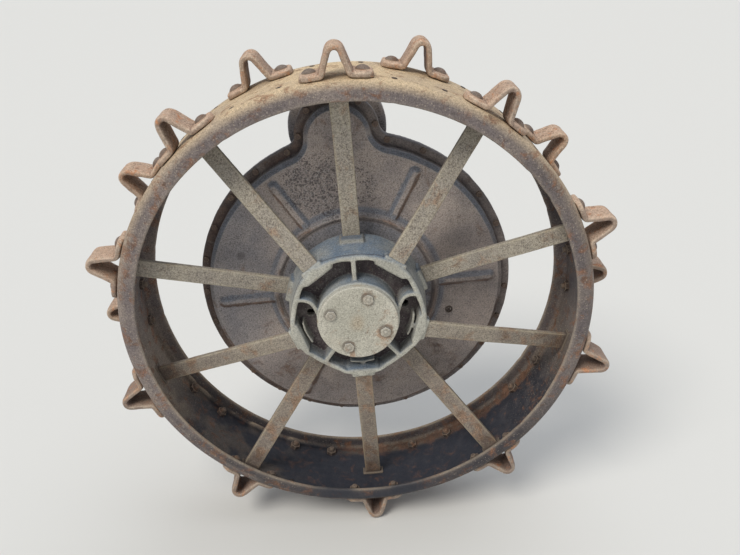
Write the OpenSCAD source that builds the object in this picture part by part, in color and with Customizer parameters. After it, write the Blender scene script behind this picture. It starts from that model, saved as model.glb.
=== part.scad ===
// Driven wheel end of an old farm tractor: a lugged steel wheel with crossed flat
// spokes, its cast hub, and the final drive case that carries its axle. Millimetres,
// +Z up. The origin is the centre of the mounting face on the inboard side of the
// case, +Y points inboard and the wheel stands on the outboard side, at -Y.

/* [Wheel] */
// Diameter over the rim, without the lugs
rim_d = 965.2; // [900:1:1100]
// Width of the rim over its two lips
rim_w = 193; // [180:1:230]
// Thickness of the rim plate
rim_t = 8; // [6:0.5:10]
// How far each lip reaches inward from the rim's outside
lip_depth = 37; // [32:1:50]
// Outer radius of the rim's rounded shoulders
shoulder_r = 24; // [16:1:28]
// Distance of the rim's outboard lip from the mounting face
rim_front = 262; // [260:1:290]

/* [Spokes] */
// Number of spokes, half in each row
spoke_n = 10; // [8:2:12]
// Angle of the first spoke, seen from outboard
spoke_phase = 93.4; // [80:0.1:100]
// Width of a spoke bar
spoke_w = 36; // [28:1:42]
// Thickness of a spoke bar
spoke_t = 11; // [8:0.5:14]
// Depth of the front row's roots behind the outboard lip
front_root = 27; // [24:1:32]
// Depth of the rear row's roots behind the outboard lip
rear_root = 97; // [90:1:100]
// Depth at which the front row meets the rim
front_tip = 95; // [85:1:105]
// Depth at which the rear row meets the rim
rear_tip = 42; // [38:1:60]
// Length of a spoke's foot along the rim
foot_len = 48; // [40:1:60]
// Width of a spoke's foot across the rim
foot_w = 22; // [14:1:30]
// Thickness of a spoke's foot
foot_t = 4; // [2:0.5:6]

/* [Lugs] */
// Number of lugs in each row
lug_n = 10; // [8:1:12]
// Width of a lug's strap, across the rim
lug_w = 64; // [50:1:70]
// Thickness of a lug's strap
lug_t = 12; // [8:0.1:14]
// Height of a lug over the rim
lug_h = 63.5; // [50:0.5:80]
// Outer radius of a lug's crown
lug_crown = 19; // [16:0.5:22]
// Length of a lug from end to end
lug_len = 136; // [120:1:150]
// Length of one foot
lug_foot = 42; // [34:1:48]
// Corner radius of a foot's free end
lug_corner = 20; // [8:1:24]
// Distance of each row of lugs from its edge of the rim
lug_edge = 11; // [8:1:18]

/* [Hub] */
// Outer radius of the hub drum at its front
hub_r = 140; // [134:1:145]
// Outer radius of the hub drum at its back
hub_back_r = 147; // [140:1:150]
// Depth of the hub's front behind the outboard lip
hub_front = 16; // [12:1:20]
// Depth of the hub's back behind the outboard lip
hub_back = 114; // [110:1:118]
// Outer radius of the hub's barrel
barrel_r = 82; // [78:1:88]
// Depth of the barrel's front behind the outboard lip
barrel_front = 5; // [3:1:9]
// Outer radius of the front pockets between the lobes
pocket_r = 127; // [122:1:130]
// Outer radius of the front pockets at the lobes
lobe_r = 114; // [106:1:118]
// Width of a pocket between two lobes
pocket_w = 78; // [60:1:84]
// Depth of the front pockets
pocket_deep = 40; // [30:1:46]
// Thickness of the hub's web behind the pockets
web_t = 16; // [12:1:22]
// Thickness of the ribs across the front pockets
rib_t = 9; // [6:0.5:12]
// Thickness of the metal around a spoke's root
collar_t = 6.5; // [5:0.5:9]
// Height of the front row's collars over the front of the hub drum
collar_h = 7; // [5:0.5:10]
// Height of the rear row's collars over the back of the hub drum
rear_collar_h = 4; // [3:0.5:8]
// Reach of the rear row's collars towards the front
rear_collar_reach = 15; // [6:1:18]
// Radius of the bead round the barrel's front
bead_r = 84.5; // [83:0.5:92]
// Width of the bead
bead_w = 9; // [6:1:12]
// Radius of the cover on the barrel
cap_r = 81.5; // [76:0.5:84]
// Thickness of the cover on the barrel
cap_t = 12; // [10:1:18]
// Radius of the circle of the cover's bolts
cap_bolt_pcr = 58.5; // [52:0.5:62]
// Angle of the cover's first bolt
cap_bolt_phase = 69.5; // [60:0.5:90]
// Radius of the cover's bolts
cap_bolt_r = 6; // [5:0.5:8]
// Height of the heads of the cover's bolts
cap_head_h = 6; // [5:1:9]
// Depth of the cover's bolts in the barrel
cap_bolt_deep = 16; // [12:1:20]
// Radius of the puller holes in the web
puller_r = 8; // [6:0.5:10]
// Radius of the circle of the puller holes
puller_pcr = 100; // [96:1:104]
// Radius of the curved ribs round the puller holes
guard_r = 27; // [25:0.5:29]

/* [Axle and gear] */
// Radius of the axle
axle_r = 38; // [34:0.5:42]
// Running clearance of the axle in its bearings
axle_fit = 0.05; // [0.02:0.01:0.1]
// Thickness of the metal round the axle's bearings
bearing_t = 30; // [24:1:34]
// Number of teeth on the bull gear
gear_n = 66; // [60:1:80]
// Outer radius of the bull gear
gear_r = 276; // [260:1:280]
// Depth of a tooth
tooth_h = 9; // [7:0.5:12]
// Width of the bull gear's face
gear_w = 52; // [40:1:56]
// Thickness of the bull gear's rim under its teeth
gear_rim = 24; // [18:1:30]
// Thickness of the bull gear's web
gear_web = 16; // [12:1:24]

/* [Case] */
// Sideways distance of the axle from the centre of the mounting face
axle_x = 32; // [20:1:40]
// Drop of the axle below the centre of the mounting face
axle_drop = 337; // [330:1:345]
// Radius of the round part of the case
case_r = 321; // [312:1:324]
// Radius of the arched top of the case
arch_r = 68; // [60:1:76]
// Radius of the fillets where the arched top joins the round part
fillet_r = 45; // [36:1:54]
// Thickness of the case walls
wall = 10; // [8:0.5:12]
// Depth of the cover's face behind the outboard lip
cover_front = 146; // [144:1:150]
// Depth of the joint between cover and case behind the outboard lip
joint_depth = 186; // [182:1:190]
// Width of the joint's flanges
flange_w = 20; // [16:1:24]
// Thickness of each flange
flange_t = 12; // [9:0.5:15]
// Distance of the case's inboard face from the mounting face
case_back_gap = 20; // [16:1:30]
// Radius of the outer step of the cover's boss
boss_r = 184; // [178:1:190]
// Slope of the boss's outer step, measured along the cover's face
boss_slope = 14; // [8:1:18]
// Radius of the inner step of the cover's boss
boss_inner_r = 120; // [100:1:130]
// Height of each step of the cover's boss
boss_step = 11; // [8:1:12]
// Width of the boss's crest
boss_crest = 4; // [2:1:8]
// How far the face inside the boss's crest lies below it
boss_dish = 4; // [2:0.5:6]
// Width and height of the bevel around the case
bevel = 9; // [4:1:11]
// Radius that the cover's ribs reach
cover_rib_r = 306; // [290:1:310]
// Width of the cover's ribs at their foot
cover_rib_w = 26; // [20:1:30]
// Width of the cover's ribs at their crest
cover_rib_crest = 9; // [5:1:14]
// Height of the cover's ribs
cover_rib_h = 7; // [5:0.5:10]
// Angle of the cover's first rib
cover_rib_phase = 4.7; // [0:0.1:12]
// Number of bolts around the joint
case_bolt_n = 25; // [19:1:28]
// Radius of the joint's bolts
case_bolt_r = 3.5; // [3:0.5:5]
// Radius of the hexagon on the drain plug
drain_r = 11; // [9:1:12]
// Radius of the level plug
level_r = 9; // [7:1:12]
// Distance of the level plug from the axle
level_out = 213; // [200:1:230]
// Angle of the level plug
level_angle = -16; // [-24:1:-10]

/* [Mounting] */
// Radius of the mounting flange
mount_r = 104; // [96:1:112]
// Radius of the circle of the mounting studs' holes
mount_pcr = 86; // [80:1:90]
// Number of mounting studs' holes
mount_n = 8; // [6:1:10]
// Radius of a mounting stud's hole
mount_hole_r = 8; // [6:0.5:10]
// Depth of a mounting stud's hole
mount_hole_deep = 24; // [18:1:26]
// Radius of the bore for the drive pinion's shaft
pinion_bore_r = 46; // [40:1:55]

/* [Hidden] */
$fn = 96;
rim_r = rim_d / 2;
lip_r = rim_r - lip_depth;
floor_r = rim_r - rim_t;
spoke_step = 360 / spoke_n;
front_root_r = hub_r + collar_h;
rear_root_r = hub_back_r + rear_collar_h;
lug_step = 360 / lug_n;
lug_top = rim_r + lug_h;
lug_bend = lug_len / 2 - lug_foot;
hub_front_z = rim_front - hub_front;
hub_back_z = rim_front - hub_back;
web_front_z = hub_front_z - pocket_deep;
cover_face_z = rim_front - cover_front;
joint_z = rim_front - joint_depth;
case_bolt_out = flange_w * 0.6;
case_head_h = 5;
case_bolt_hole_r = case_bolt_r + 0.5;
gear_z = (cover_face_z + case_back_gap - gear_w) / 2;
bearing_r = axle_r + bearing_t;
barrel_front_z = rim_front - barrel_front;
cap_front = barrel_front_z + cap_t;
axle_back_z = 14;
axle_front_z = barrel_front_z - 8;
cap_bolt_angles = [for (k = [0 : 3]) cap_bolt_phase + 90 * k];
puller_angles = [6, 183];
eps = 0.01;
blend = 0.1;

// Stands a piece drawn in plan on its own axis: the plan's x stays, its y becomes
// height and its z points outboard
module stand() { rotate([90, 0, 0]) children(); }

// The same, centred on the axle
module on_axle() { stand() translate([axle_x, -axle_drop, 0]) children(); }

// Bolt head or nut: a hexagon whose width grows with the bolt's radius
module hexagon(bolt_r, height) { cylinder(r = bolt_r * 1.9, h = height, $fn = 6); }

// Places its children round the axle at the given angles and radius
module ring_of(angles, radius) {
    for (a = angles) rotate([0, 0, a]) translate([radius, 0, 0]) children();
}

// Half section of the space enclosed by the rim, grown outward by the rim's plate
module rim_section(grow) {
    r = floor_r + grow;
    low = rim_t - grow;
    high = rim_w - rim_t + grow;
    s = shoulder_r - rim_t + grow;
    translate([0, low]) square([r - s, high - low]);
    translate([0, low + s]) square([r, high - low - 2 * s]);
    for (y = [low + s, high - s]) translate([r - s, y]) circle(r = s);
}

// The free space inside the rim, as a solid of revolution
module rim_space() {
    translate([0, 0, rim_front - rim_w]) rotate_extrude() intersection() {
        rim_section(0);
        square([rim_r, rim_w]);
    }
}

module rim() {
    color("peru") on_axle() translate([0, 0, rim_front - rim_w]) rotate_extrude() {
        difference() {
            intersection() {
                rim_section(rim_t);
                translate([lip_r + rim_t / 2, 0]) square([rim_r, rim_w]);
            }
            rim_section(0);
        }
        for (y = [rim_t / 2, rim_w - rim_t / 2]) translate([lip_r + rim_t / 2, y]) circle(d = rim_t);
    }
}

// One flat spoke along +x, from its collar on the hub to its foot on the rim
module spoke(root_r, root, tip) {
    rise = (root - tip) / (floor_r - root_r);
    half = spoke_t / 2 * sqrt(1 + rise * rise);
    reach = floor_r + foot_t - root_r;
    intersection() {
        union() {
            translate([root_r, 0, rim_front - root]) rotate([90, 0, 0])
                linear_extrude(height = spoke_w, center = true)
                    polygon([[0, -half], [reach, rise * reach - half],
                             [reach, rise * reach + half], [0, half]]);
            translate([0, 0, rim_front - tip]) difference() {
                translate([floor_r - 2 * foot_t, -foot_len / 2, -foot_w / 2])
                    cube([3 * foot_t, foot_len, foot_w]);
                cylinder(r = floor_r - foot_t, h = 2 * foot_w, center = true);
            }
        }
        rim_space();
    }
}

// The spokes of the two rows alternate and cross: roots in front lead to the back
// of the rim and roots at the rear lead to its front
module spoke_at(k) {
    front = k % 2 == 0;
    color("rosybrown") on_axle() rotate([0, 0, spoke_phase - (k - 1) * spoke_step])
        spoke(front ? front_root_r : rear_root_r, front ? front_root : rear_root,
              front ? front_tip : rear_tip);
}

// Points on an arc about a centre, from one angle to another
function arc(centre, r, from, to, steps = 10) =
    [for (k = [0 : steps]) let (a = from + (to - from) * k / steps) centre + r * [cos(a), sin(a)]];

// Points mirrored to the other side of the y axis, in the opposite order
function mirrored(points) = [for (k = [len(points) - 1 : -1 : 0]) [-points[k][0], points[k][1]]];

// Half of a lug's hoop, on its outside or its inside: from the rim up the leg and round the crown
function hoop_half(bend, crown, lean, r) =
    let (down = [sin(lean), -cos(lean)])
    concat([bend + (r - lug_crown + lug_t / 2) * [cos(lean), sin(lean)] + 2 * lug_t * down],
           arc(crown, r, lean, 90));

// Side view of a lug that stands on top of the rim: a strap bent into a hoop with two feet
module lug_profile() {
    mid_r = rim_r + lug_t / 2;
    bend = [lug_bend, sqrt(mid_r * mid_r - lug_bend * lug_bend)];
    crown = [0, lug_top - lug_crown];
    leg = bend - crown;
    lean = atan2(leg[1], leg[0]) + acos((lug_crown - lug_t / 2) / norm(leg));
    outer = hoop_half(bend, crown, lean, lug_crown);
    inner = hoop_half(bend, crown, lean, lug_crown - lug_t);
    difference() {
        union() {
            polygon(concat(outer, mirrored(outer)));
            intersection() {
                circle(r = rim_r + lug_t);
                translate([-lug_len, rim_r / 2]) square([2 * lug_len, rim_r]);
            }
        }
        polygon(concat(inner, mirrored(inner)));
        circle(r = rim_r);
    }
}

// Plan of a lug, with the free ends of its feet rounded
module lug_plan() {
    x = lug_len / 2 - lug_corner;
    y = lug_w / 2 - lug_corner;
    half = concat(arc([x, -y], lug_corner, -90, 0, 6), arc([x, y], lug_corner, 0, 90, 6));
    translate([0, lug_w / 2]) polygon(concat(half, mirrored(half)));
}

module lug() {
    intersection() {
        linear_extrude(height = lug_w) lug_profile();
        rotate([90, 0, 0]) translate([0, 0, -lug_top - 1])
            linear_extrude(height = lug_top) lug_plan();
    }
}

// The second row stands half a step round from the first
module lug_at(k) {
    front = k <= lug_n;
    turn = (front ? k - 1 : k - lug_n - 0.5) * lug_step;
    height = front ? rim_front - lug_edge - lug_w : rim_front - rim_w + lug_edge;
    color("burlywood") on_axle() rotate([0, 0, spoke_phase - 90 - turn])
        translate([0, 0, height]) lug();
}

// Cast block that a spoke's root sits in
module collar(root_r, root, reach) {
    width = spoke_w + 2 * collar_t;
    height = spoke_t + 2 * collar_t;
    translate([barrel_r, -width / 2, rim_front - root - height / 2])
        cube([root_r - barrel_r, width, height + reach]);
}

// The hub's front pockets seen end on: deep at the ribs, shallow at the lobes
module pocket_plan() {
    difference() {
        union() {
            circle(r = lobe_r);
            intersection() {
                circle(r = pocket_r);
                for (k = [1 : 2 : spoke_n]) rotate(spoke_phase - (k - 1) * spoke_step)
                    translate([barrel_r, -pocket_w / 2]) square([pocket_r, pocket_w]);
            }
        }
        circle(r = bead_r);
        for (k = [1, 5, 7]) rotate(spoke_phase - (k - 1) * spoke_step)
            translate([0, -rib_t / 2]) square([pocket_r + eps, rib_t]);
        for (side = [0, 1]) guard_plan(side);
    }
}

// Curved rib between the barrel and the drum that passes round a puller hole, above it
module guard_plan(side) {
    angle = puller_angles[side];
    reach = guard_r + rib_t;
    shift = [12, 14];
    translate([puller_pcr * cos(angle), puller_pcr * sin(angle)]) mirror([side, 0, 0])
        translate(shift) intersection() {
            difference() {
                circle(r = guard_r + rib_t / 2);
                circle(r = guard_r - rib_t / 2);
            }
            translate([-reach, -shift[1]]) square([reach + shift[1], reach + shift[1]]);
        }
}

module hub() {
    color("tan") on_axle() difference() {
        union() {
            translate([0, 0, hub_back_z]) cylinder(r1 = hub_back_r, r2 = hub_r, h = hub_front_z - hub_back_z);
            translate([0, 0, hub_back_z]) cylinder(r = barrel_r, h = barrel_front_z - hub_back_z);
            translate([0, 0, barrel_front_z - bead_w]) cylinder(r = bead_r, h = bead_w);
            for (k = [1 : spoke_n]) rotate([0, 0, spoke_phase - (k - 1) * spoke_step])
                if (k % 2 == 0) collar(front_root_r, front_root, 0);
                else collar(rear_root_r, rear_root, rear_collar_reach);
        }
        translate([0, 0, web_front_z]) linear_extrude(height = 2 * pocket_deep) pocket_plan();
        translate([0, 0, hub_back_z - eps]) difference() {
            cylinder(r = pocket_r, h = web_front_z - web_t - hub_back_z);
            cylinder(r = bearing_r, h = web_front_z);
        }
        cylinder(r = axle_r, h = 2 * rim_front);
        translate([0, 0, hub_back_z]) ring_of(puller_angles, puller_pcr)
            cylinder(r = puller_r, h = rim_front);
        translate([0, 0, barrel_front_z - cap_bolt_deep - cap_bolt_r])
            ring_of(cap_bolt_angles, cap_bolt_pcr) cylinder(r = cap_bolt_r, h = rim_front);
    }
}

module hub_cap() {
    color("wheat") on_axle() translate([0, 0, cap_front - cap_t]) difference() {
        cylinder(r = cap_r, h = cap_t);
        translate([0, 0, -eps]) ring_of(cap_bolt_angles, cap_bolt_pcr)
            cylinder(r = cap_bolt_r + 1, h = 2 * cap_t);
    }
}

module cap_bolts() {
    color("tan") on_axle() ring_of(cap_bolt_angles, cap_bolt_pcr) {
        translate([0, 0, cap_front]) hexagon(cap_bolt_r, cap_head_h);
        translate([0, 0, barrel_front_z - cap_bolt_deep]) cylinder(r = cap_bolt_r, h = cap_t + cap_bolt_deep);
    }
}

module axle() {
    color("dimgray") on_axle() translate([0, 0, axle_back_z])
        cylinder(r = axle_r, h = axle_front_z - axle_back_z);
}

// Gear teeth as one outline: a root circle with a tapered tooth at every pitch
module gear_plan() {
    root = gear_r - tooth_h;
    pitch = 360 * root / gear_n;
    half = pitch * PI / 180 / 4;
    circle(r = root);
    for (k = [1 : gear_n]) rotate(k * 360 / gear_n)
        polygon([[root - tooth_h, -half * 1.2], [root, -half * 1.2], [gear_r, -half * 0.6],
                 [gear_r, half * 0.6], [root, half * 1.2], [root - tooth_h, half * 1.2]]);
}

module bull_gear() {
    inner = gear_r - tooth_h - gear_rim;
    color("gray") on_axle() translate([0, 0, gear_z]) difference() {
        linear_extrude(height = gear_w) gear_plan();
        for (z = [-eps, gear_w / 2 + gear_web / 2]) translate([0, 0, z]) difference() {
            cylinder(r = inner, h = gear_w / 2 - gear_web / 2 + eps);
            translate([0, 0, -1]) cylinder(r = bearing_r, h = gear_w);
        }
        translate([0, 0, -1]) cylinder(r = axle_r, h = gear_w + 2);
    }
}

// Slab of the case's outline, which may narrow over its height: the round part, the
// arched top over the drive pinion, and on each side a fillet tangent to both circles
module case_slab(grow, height, taper = 0) {
    top = [-axle_x, axle_drop];
    near = case_r + fillet_r;
    far = arch_r + fillet_r;
    along = (near * near - far * far + top * top) / (2 * norm(top));
    aside = sqrt(near * near - along * along);
    up = top / norm(top);
    hollow = fillet_r - grow + blend;
    cylinder(r1 = case_r + grow, r2 = case_r + grow - taper, h = height);
    translate(top) cylinder(r1 = arch_r + grow, r2 = arch_r + grow - taper, h = height);
    for (side = [-1, 1]) {
        corner = up * along + side * aside * [up[1], -up[0]];
        difference() {
            linear_extrude(height = height) polygon([[0, 0], top, corner]);
            translate(corner) cylinder(r1 = hollow, r2 = hollow + taper, h = height + eps);
        }
    }
}

// Places its children at every bolt of the case's joint
module case_bolt_places() {
    first = 114;
    last = 438;
    step = (last - first) / (case_bolt_n - 1);
    ring_of([first : step : last + eps], case_r + case_bolt_out) children();
    translate([-axle_x, axle_drop, 0]) ring_of([16 : 41 : 180], arch_r + case_bolt_out) children();
}

// Radial ribs with sloping sides and ends on the cover's face
module cover_ribs() {
    intersection() {
        for (k = [0 : 5]) rotate([0, 0, cover_rib_phase + k * 60]) translate([boss_inner_r, 0, 0])
            rotate([90, 0, 90]) linear_extrude(height = case_r - boss_inner_r)
                polygon([[-cover_rib_w / 2, -wall], [cover_rib_w / 2, -wall], [cover_rib_w / 2, 0],
                         [cover_rib_crest / 2, cover_rib_h], [-cover_rib_crest / 2, cover_rib_h],
                         [-cover_rib_w / 2, 0]]);
        translate([0, 0, -wall])
            cylinder(r1 = cover_rib_r + wall, r2 = cover_rib_r - cover_rib_h, h = wall + cover_rib_h);
    }
}

module case_cover() {
    depth = cover_face_z - joint_z;
    color("gray") on_axle() difference() {
        union() {
            translate([0, 0, joint_z]) case_slab(0, depth - bevel);
            translate([0, 0, cover_face_z - bevel]) case_slab(0, bevel, bevel);
            translate([0, 0, joint_z]) case_slab(flange_w, flange_t);
            translate([0, 0, cover_face_z - wall]) cylinder(r = boss_r, h = wall);
            translate([0, 0, cover_face_z]) difference() {
                cylinder(r1 = boss_r, r2 = boss_r - boss_slope, h = boss_step);
                translate([0, 0, boss_step - boss_dish])
                    cylinder(r = boss_r - boss_slope - boss_crest, h = boss_step);
            }
            translate([0, 0, joint_z]) cylinder(r = boss_inner_r, h = depth + 2 * boss_step);
            translate([0, 0, cover_face_z]) cover_ribs();
        }
        difference() {
            case_slab(-wall, cover_face_z - wall);
            cylinder(r = bearing_r, h = rim_front);
        }
        cylinder(r = bearing_r + 1, h = gear_z + gear_w + 6);
        cylinder(r = axle_r + axle_fit, h = rim_front);
        case_bolt_places() cylinder(r = case_bolt_hole_r, h = joint_z + flange_t + eps);
    }
}

module case_back() {
    color("dimgray") difference() {
        union() {
            on_axle() {
                translate([0, 0, case_back_gap + bevel]) case_slab(0, joint_z - case_back_gap - bevel);
                translate([0, 0, case_back_gap + bevel]) mirror([0, 0, 1]) case_slab(0, bevel, bevel);
                translate([0, 0, joint_z - flange_t]) case_slab(flange_w, flange_t);
                translate([0, 0, axle_back_z - wall]) cylinder(r = bearing_r, h = case_back_gap);
            }
            stand() cylinder(r = mount_r, h = case_back_gap + wall);
        }
        on_axle() {
            difference() {
                translate([0, 0, case_back_gap + wall]) case_slab(-wall, joint_z);
                cylinder(r = bearing_r, h = case_back_gap + wall + 8);
            }
            translate([0, 0, axle_back_z - 3]) cylinder(r = axle_r + axle_fit, h = joint_z);
            case_bolt_places() translate([0, 0, joint_z - flange_t - eps])
                cylinder(r = case_bolt_hole_r, h = joint_z);
        }
        stand() {
            translate([0, 0, -eps]) cylinder(r = pinion_bore_r, h = joint_z);
            translate([0, 0, -eps]) ring_of([for (k = [0 : mount_n - 1]) 22.5 + k * 360 / mount_n], mount_pcr)
                cylinder(r = mount_hole_r, h = mount_hole_deep + eps);
        }
    }
}

module case_bolts() {
    color("saddlebrown") on_axle() case_bolt_places() translate([0, 0, joint_z]) {
        translate([0, 0, flange_t]) hexagon(case_bolt_r, case_head_h);
        translate([0, 0, -flange_t]) cylinder(r = case_bolt_r, h = 2 * flange_t);
        translate([0, 0, -flange_t - case_head_h]) hexagon(case_bolt_r, case_head_h);
    }
}

module drain_plug() {
    middle = (joint_z - flange_t - case_head_h + case_back_gap) / 2;
    color("saddlebrown") on_axle() translate([0, 0, middle]) rotate([90, 0, 0])
        translate([0, 0, case_r]) cylinder(r = drain_r, h = 12, $fn = 6);
}

module level_plug() {
    color("black") on_axle() rotate([0, 0, level_angle]) translate([level_out, 0, cover_face_z])
        cylinder(r = level_r, h = 5, $fn = 4);
}

case_cover();
case_back();
case_bolts();
drain_plug();
level_plug();
axle();
bull_gear();
hub();
hub_cap();
cap_bolts();
rim();
for (k = [1 : spoke_n]) spoke_at(k);
for (k = [1 : 2 * lug_n]) lug_at(k);
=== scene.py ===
"""The driven wheel end of an old farm tractor: looks, light and camera.

Everything is in metres in the row frame: x to the right, y inboard, z up, with the origin in the
middle of the case's mounting face. Shapes are worked out in plan first: x right and y up seen
from outboard, centred on the axle, and depth measured outboard from the mounting face.
"""

import logging
import math
from dataclasses import dataclass, field
from enum import Enum

import bpy
import numpy as np
from mathutils import Matrix, Vector


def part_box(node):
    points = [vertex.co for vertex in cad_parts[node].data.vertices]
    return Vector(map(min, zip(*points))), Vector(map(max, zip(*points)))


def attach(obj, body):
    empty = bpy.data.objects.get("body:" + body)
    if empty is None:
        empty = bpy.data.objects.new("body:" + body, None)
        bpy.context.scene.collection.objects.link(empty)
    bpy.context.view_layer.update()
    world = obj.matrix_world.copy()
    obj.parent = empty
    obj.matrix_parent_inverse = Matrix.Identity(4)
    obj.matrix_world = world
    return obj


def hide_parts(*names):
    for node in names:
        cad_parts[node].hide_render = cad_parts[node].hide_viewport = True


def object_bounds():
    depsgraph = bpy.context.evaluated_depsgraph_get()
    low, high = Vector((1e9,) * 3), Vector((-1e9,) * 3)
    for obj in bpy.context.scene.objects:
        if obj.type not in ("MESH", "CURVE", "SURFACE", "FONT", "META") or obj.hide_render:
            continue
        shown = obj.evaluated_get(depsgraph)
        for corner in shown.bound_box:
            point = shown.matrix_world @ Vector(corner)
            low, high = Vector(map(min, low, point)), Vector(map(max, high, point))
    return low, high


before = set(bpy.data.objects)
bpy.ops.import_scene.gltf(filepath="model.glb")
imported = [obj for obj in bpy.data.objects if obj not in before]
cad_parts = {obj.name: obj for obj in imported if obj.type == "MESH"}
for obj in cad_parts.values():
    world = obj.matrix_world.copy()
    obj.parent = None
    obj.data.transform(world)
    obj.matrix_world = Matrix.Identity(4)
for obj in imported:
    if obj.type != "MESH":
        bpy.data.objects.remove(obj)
CAD_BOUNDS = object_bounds()
LOG = logging.getLogger("wheel_end")
Array = np.ndarray
Mesh, Object, Socket = bpy.types.Mesh, bpy.types.Object, bpy.types.NodeSocket
Pair, Triple = tuple[float, float], tuple[float, float, float]
Rgb = tuple[int, int, int]

# The axle's place right of and below the origin, the height of the ground, the depth of the
# rim's front edge, the number of spokes, the angle of the first one in degrees, and the angle
# between two spokes of the same row.
AXLE_X, AXLE_DROP = 0.032, 0.337
FLOOR_Z = -0.8824
FRONT = 0.262
SPOKE_COUNT, FIRST_SPOKE = 10, 93.4
ROW_STEP = 720.0 / SPOKE_COUNT
# How deep a bolt head sinks in what it stands on, how far the look stays inside the CAD box,
# and the two shares of a smoothing round that leave a casting's size alone.
SINK = 0.0003
MARGIN = 1e-4
RELAX_IN, RELAX_OUT = 0.5, 0.52
# The frame's three directions: right, up in plan (inboard in the row frame) and outboard in
# plan (up in the row frame).
AXIS_X, AXIS_Y, AXIS_Z = np.eye(3)


class Body(str, Enum):
    """The two bodies of the frame."""

    CASE = "gear_case"
    WHEEL = "wheel"


# ---------------------------------------------------------------- noise and curves


def linear(rgb: Rgb) -> tuple[float, float, float, float]:
    """Turns a screen colour of 0 to 255 into linear light with full opacity.

    Formula: each channel c is c / 12.92 in the dark part and ((c + 0.055) / 1.055) to the
    power 2.4 above it.
    """
    c = np.array(rgb) / 255.0
    light = np.where(c <= 0.04045, c / 12.92, ((c + 0.055) / 1.055) ** 2.4)
    return (*map(float, light), 1.0)


def lattice(cells: Array, seed: int) -> Array:
    """Random value from -1 to 1 at whole-number cells.

    Args:
        cells: whole numbers, shape (..., 3).
        seed: picks one of many patterns.

    Returns:
        One value for each cell, from a fixed integer hash of its three numbers.
    """
    mult = np.array([374761393, 668265263, 2147483629], dtype=np.uint64)
    mixed = (cells.astype(np.int64).astype(np.uint64) * mult).sum(-1) + np.uint64(seed * 1274126177)
    mixed = (mixed ^ (mixed >> np.uint64(15))) * np.uint64(2246822519)
    mixed = (mixed ^ (mixed >> np.uint64(13))) * np.uint64(3266489917)
    return ((mixed >> np.uint64(16)) & np.uint64(0xFFFF)).astype(float) / 32767.5 - 1.0


def value_noise(points: Array, per_metre: float, seed: int) -> Array:
    """Smooth random field: the lattice's values blended with the smoothstep 3t^2 - 2t^3."""
    scaled = points * per_metre
    cell = np.floor(scaled)
    part = scaled - cell
    part = part * part * (3.0 - 2.0 * part)
    total = np.zeros(points.shape[:-1])
    for corner in np.ndindex(2, 2, 2):
        step = np.array(corner)
        weight = np.where(step == 1, part, 1.0 - part).prod(-1)
        total += weight * lattice(cell + step, seed)
    return total


def layered_noise(points: Array, per_metre: float, layers: int, seed: int) -> Array:
    """Sum of noise fields, each at twice the scale and half the height of the one before."""
    total = np.zeros(points.shape[:-1])
    for k in range(layers):
        total += value_noise(points, per_metre * 2.0**k, seed + 17 * k) * 0.5**k
    return total


def smooth(value: Array, low: float, high: float) -> Array:
    """0 below low, 1 above high and the smoothstep 3t^2 - 2t^3 between them."""
    t = np.clip((value - low) / (high - low), 0.0, 1.0)
    return t * t * (3.0 - 2.0 * t)


def soft_max(a: Array, b: Array, blend: float) -> Array:
    """The larger of two heights, with a round fillet of about the blend's size between them.

    Formula: the larger plus h^2 * blend / 4, where h is how near the two are, from 0 to 1.
    """
    near = np.clip(1.0 - np.abs(a - b) / blend, 0.0, 1.0)
    return np.maximum(a, b) + near * near * blend / 4.0


def fade(value: Array, low: float, high: float) -> Array:
    """1 below low, 0 above high and a smoothstep between them."""
    return smooth(-value, -high, -low)


def band(value: Array, middle: float, wide: float, narrow: float) -> Array:
    """1 within narrow of the middle, 0 beyond wide of it and a smoothstep between them."""
    return fade(np.abs(value - middle), narrow, wide)


def radius_of(plan: Array) -> Array:
    """Distance of plan points from the axle."""
    return np.hypot(plan[..., 0], plan[..., 1])


def unit(angle: Array) -> Array:
    """Plan directions of angles in radians."""
    return np.column_stack([np.cos(angle), np.sin(angle)])


def level(flat: Array, depth: float | Array) -> Array:
    """Flat points, or radii, with a depth added as their last number."""
    return np.column_stack([flat, np.full(len(flat), depth)])


def arc_length(line: Array) -> Array:
    """How far along a line each of its points lies."""
    return np.concatenate([[0.0], np.cumsum(np.linalg.norm(np.diff(line, axis=0), axis=1))])


def resample(line: Array, count: int) -> Array:
    """A plan line as points at even distances."""
    run = arc_length(line)
    even = np.linspace(0.0, run[-1], count)
    return np.column_stack([np.interp(even, run, line[:, k]) for k in range(2)])


def capped(grid: Array) -> Array:
    """A grid with a pole added at the middle of its first and of its last row."""
    ends = [np.broadcast_to(grid[k].mean(0), grid[k].shape)[None] for k in (0, -1)]
    return np.concatenate([ends[0], grid, ends[1]])


def turn(points: Array, degrees: float) -> Array:
    """Turns plan points about the axle, anticlockwise seen from outboard."""
    c, s = math.cos(math.radians(degrees)), math.sin(math.radians(degrees))
    x, y = points[..., 0], points[..., 1]
    return np.stack([c * x - s * y, s * x + c * y, *np.moveaxis(points[..., 2:], -1, 0)], -1)


def to_row(plan: Array) -> Array:
    """Plan points (right, up, outboard) about the axle to the row frame."""
    return np.stack([plan[..., 0] + AXLE_X, -plan[..., 2], plan[..., 1] - AXLE_DROP], -1)


def to_plan(row: Array) -> Array:
    """Row frame points to plan points about the axle."""
    return np.stack([row[..., 0] - AXLE_X, row[..., 2] + AXLE_DROP, -row[..., 1]], -1)


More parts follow.
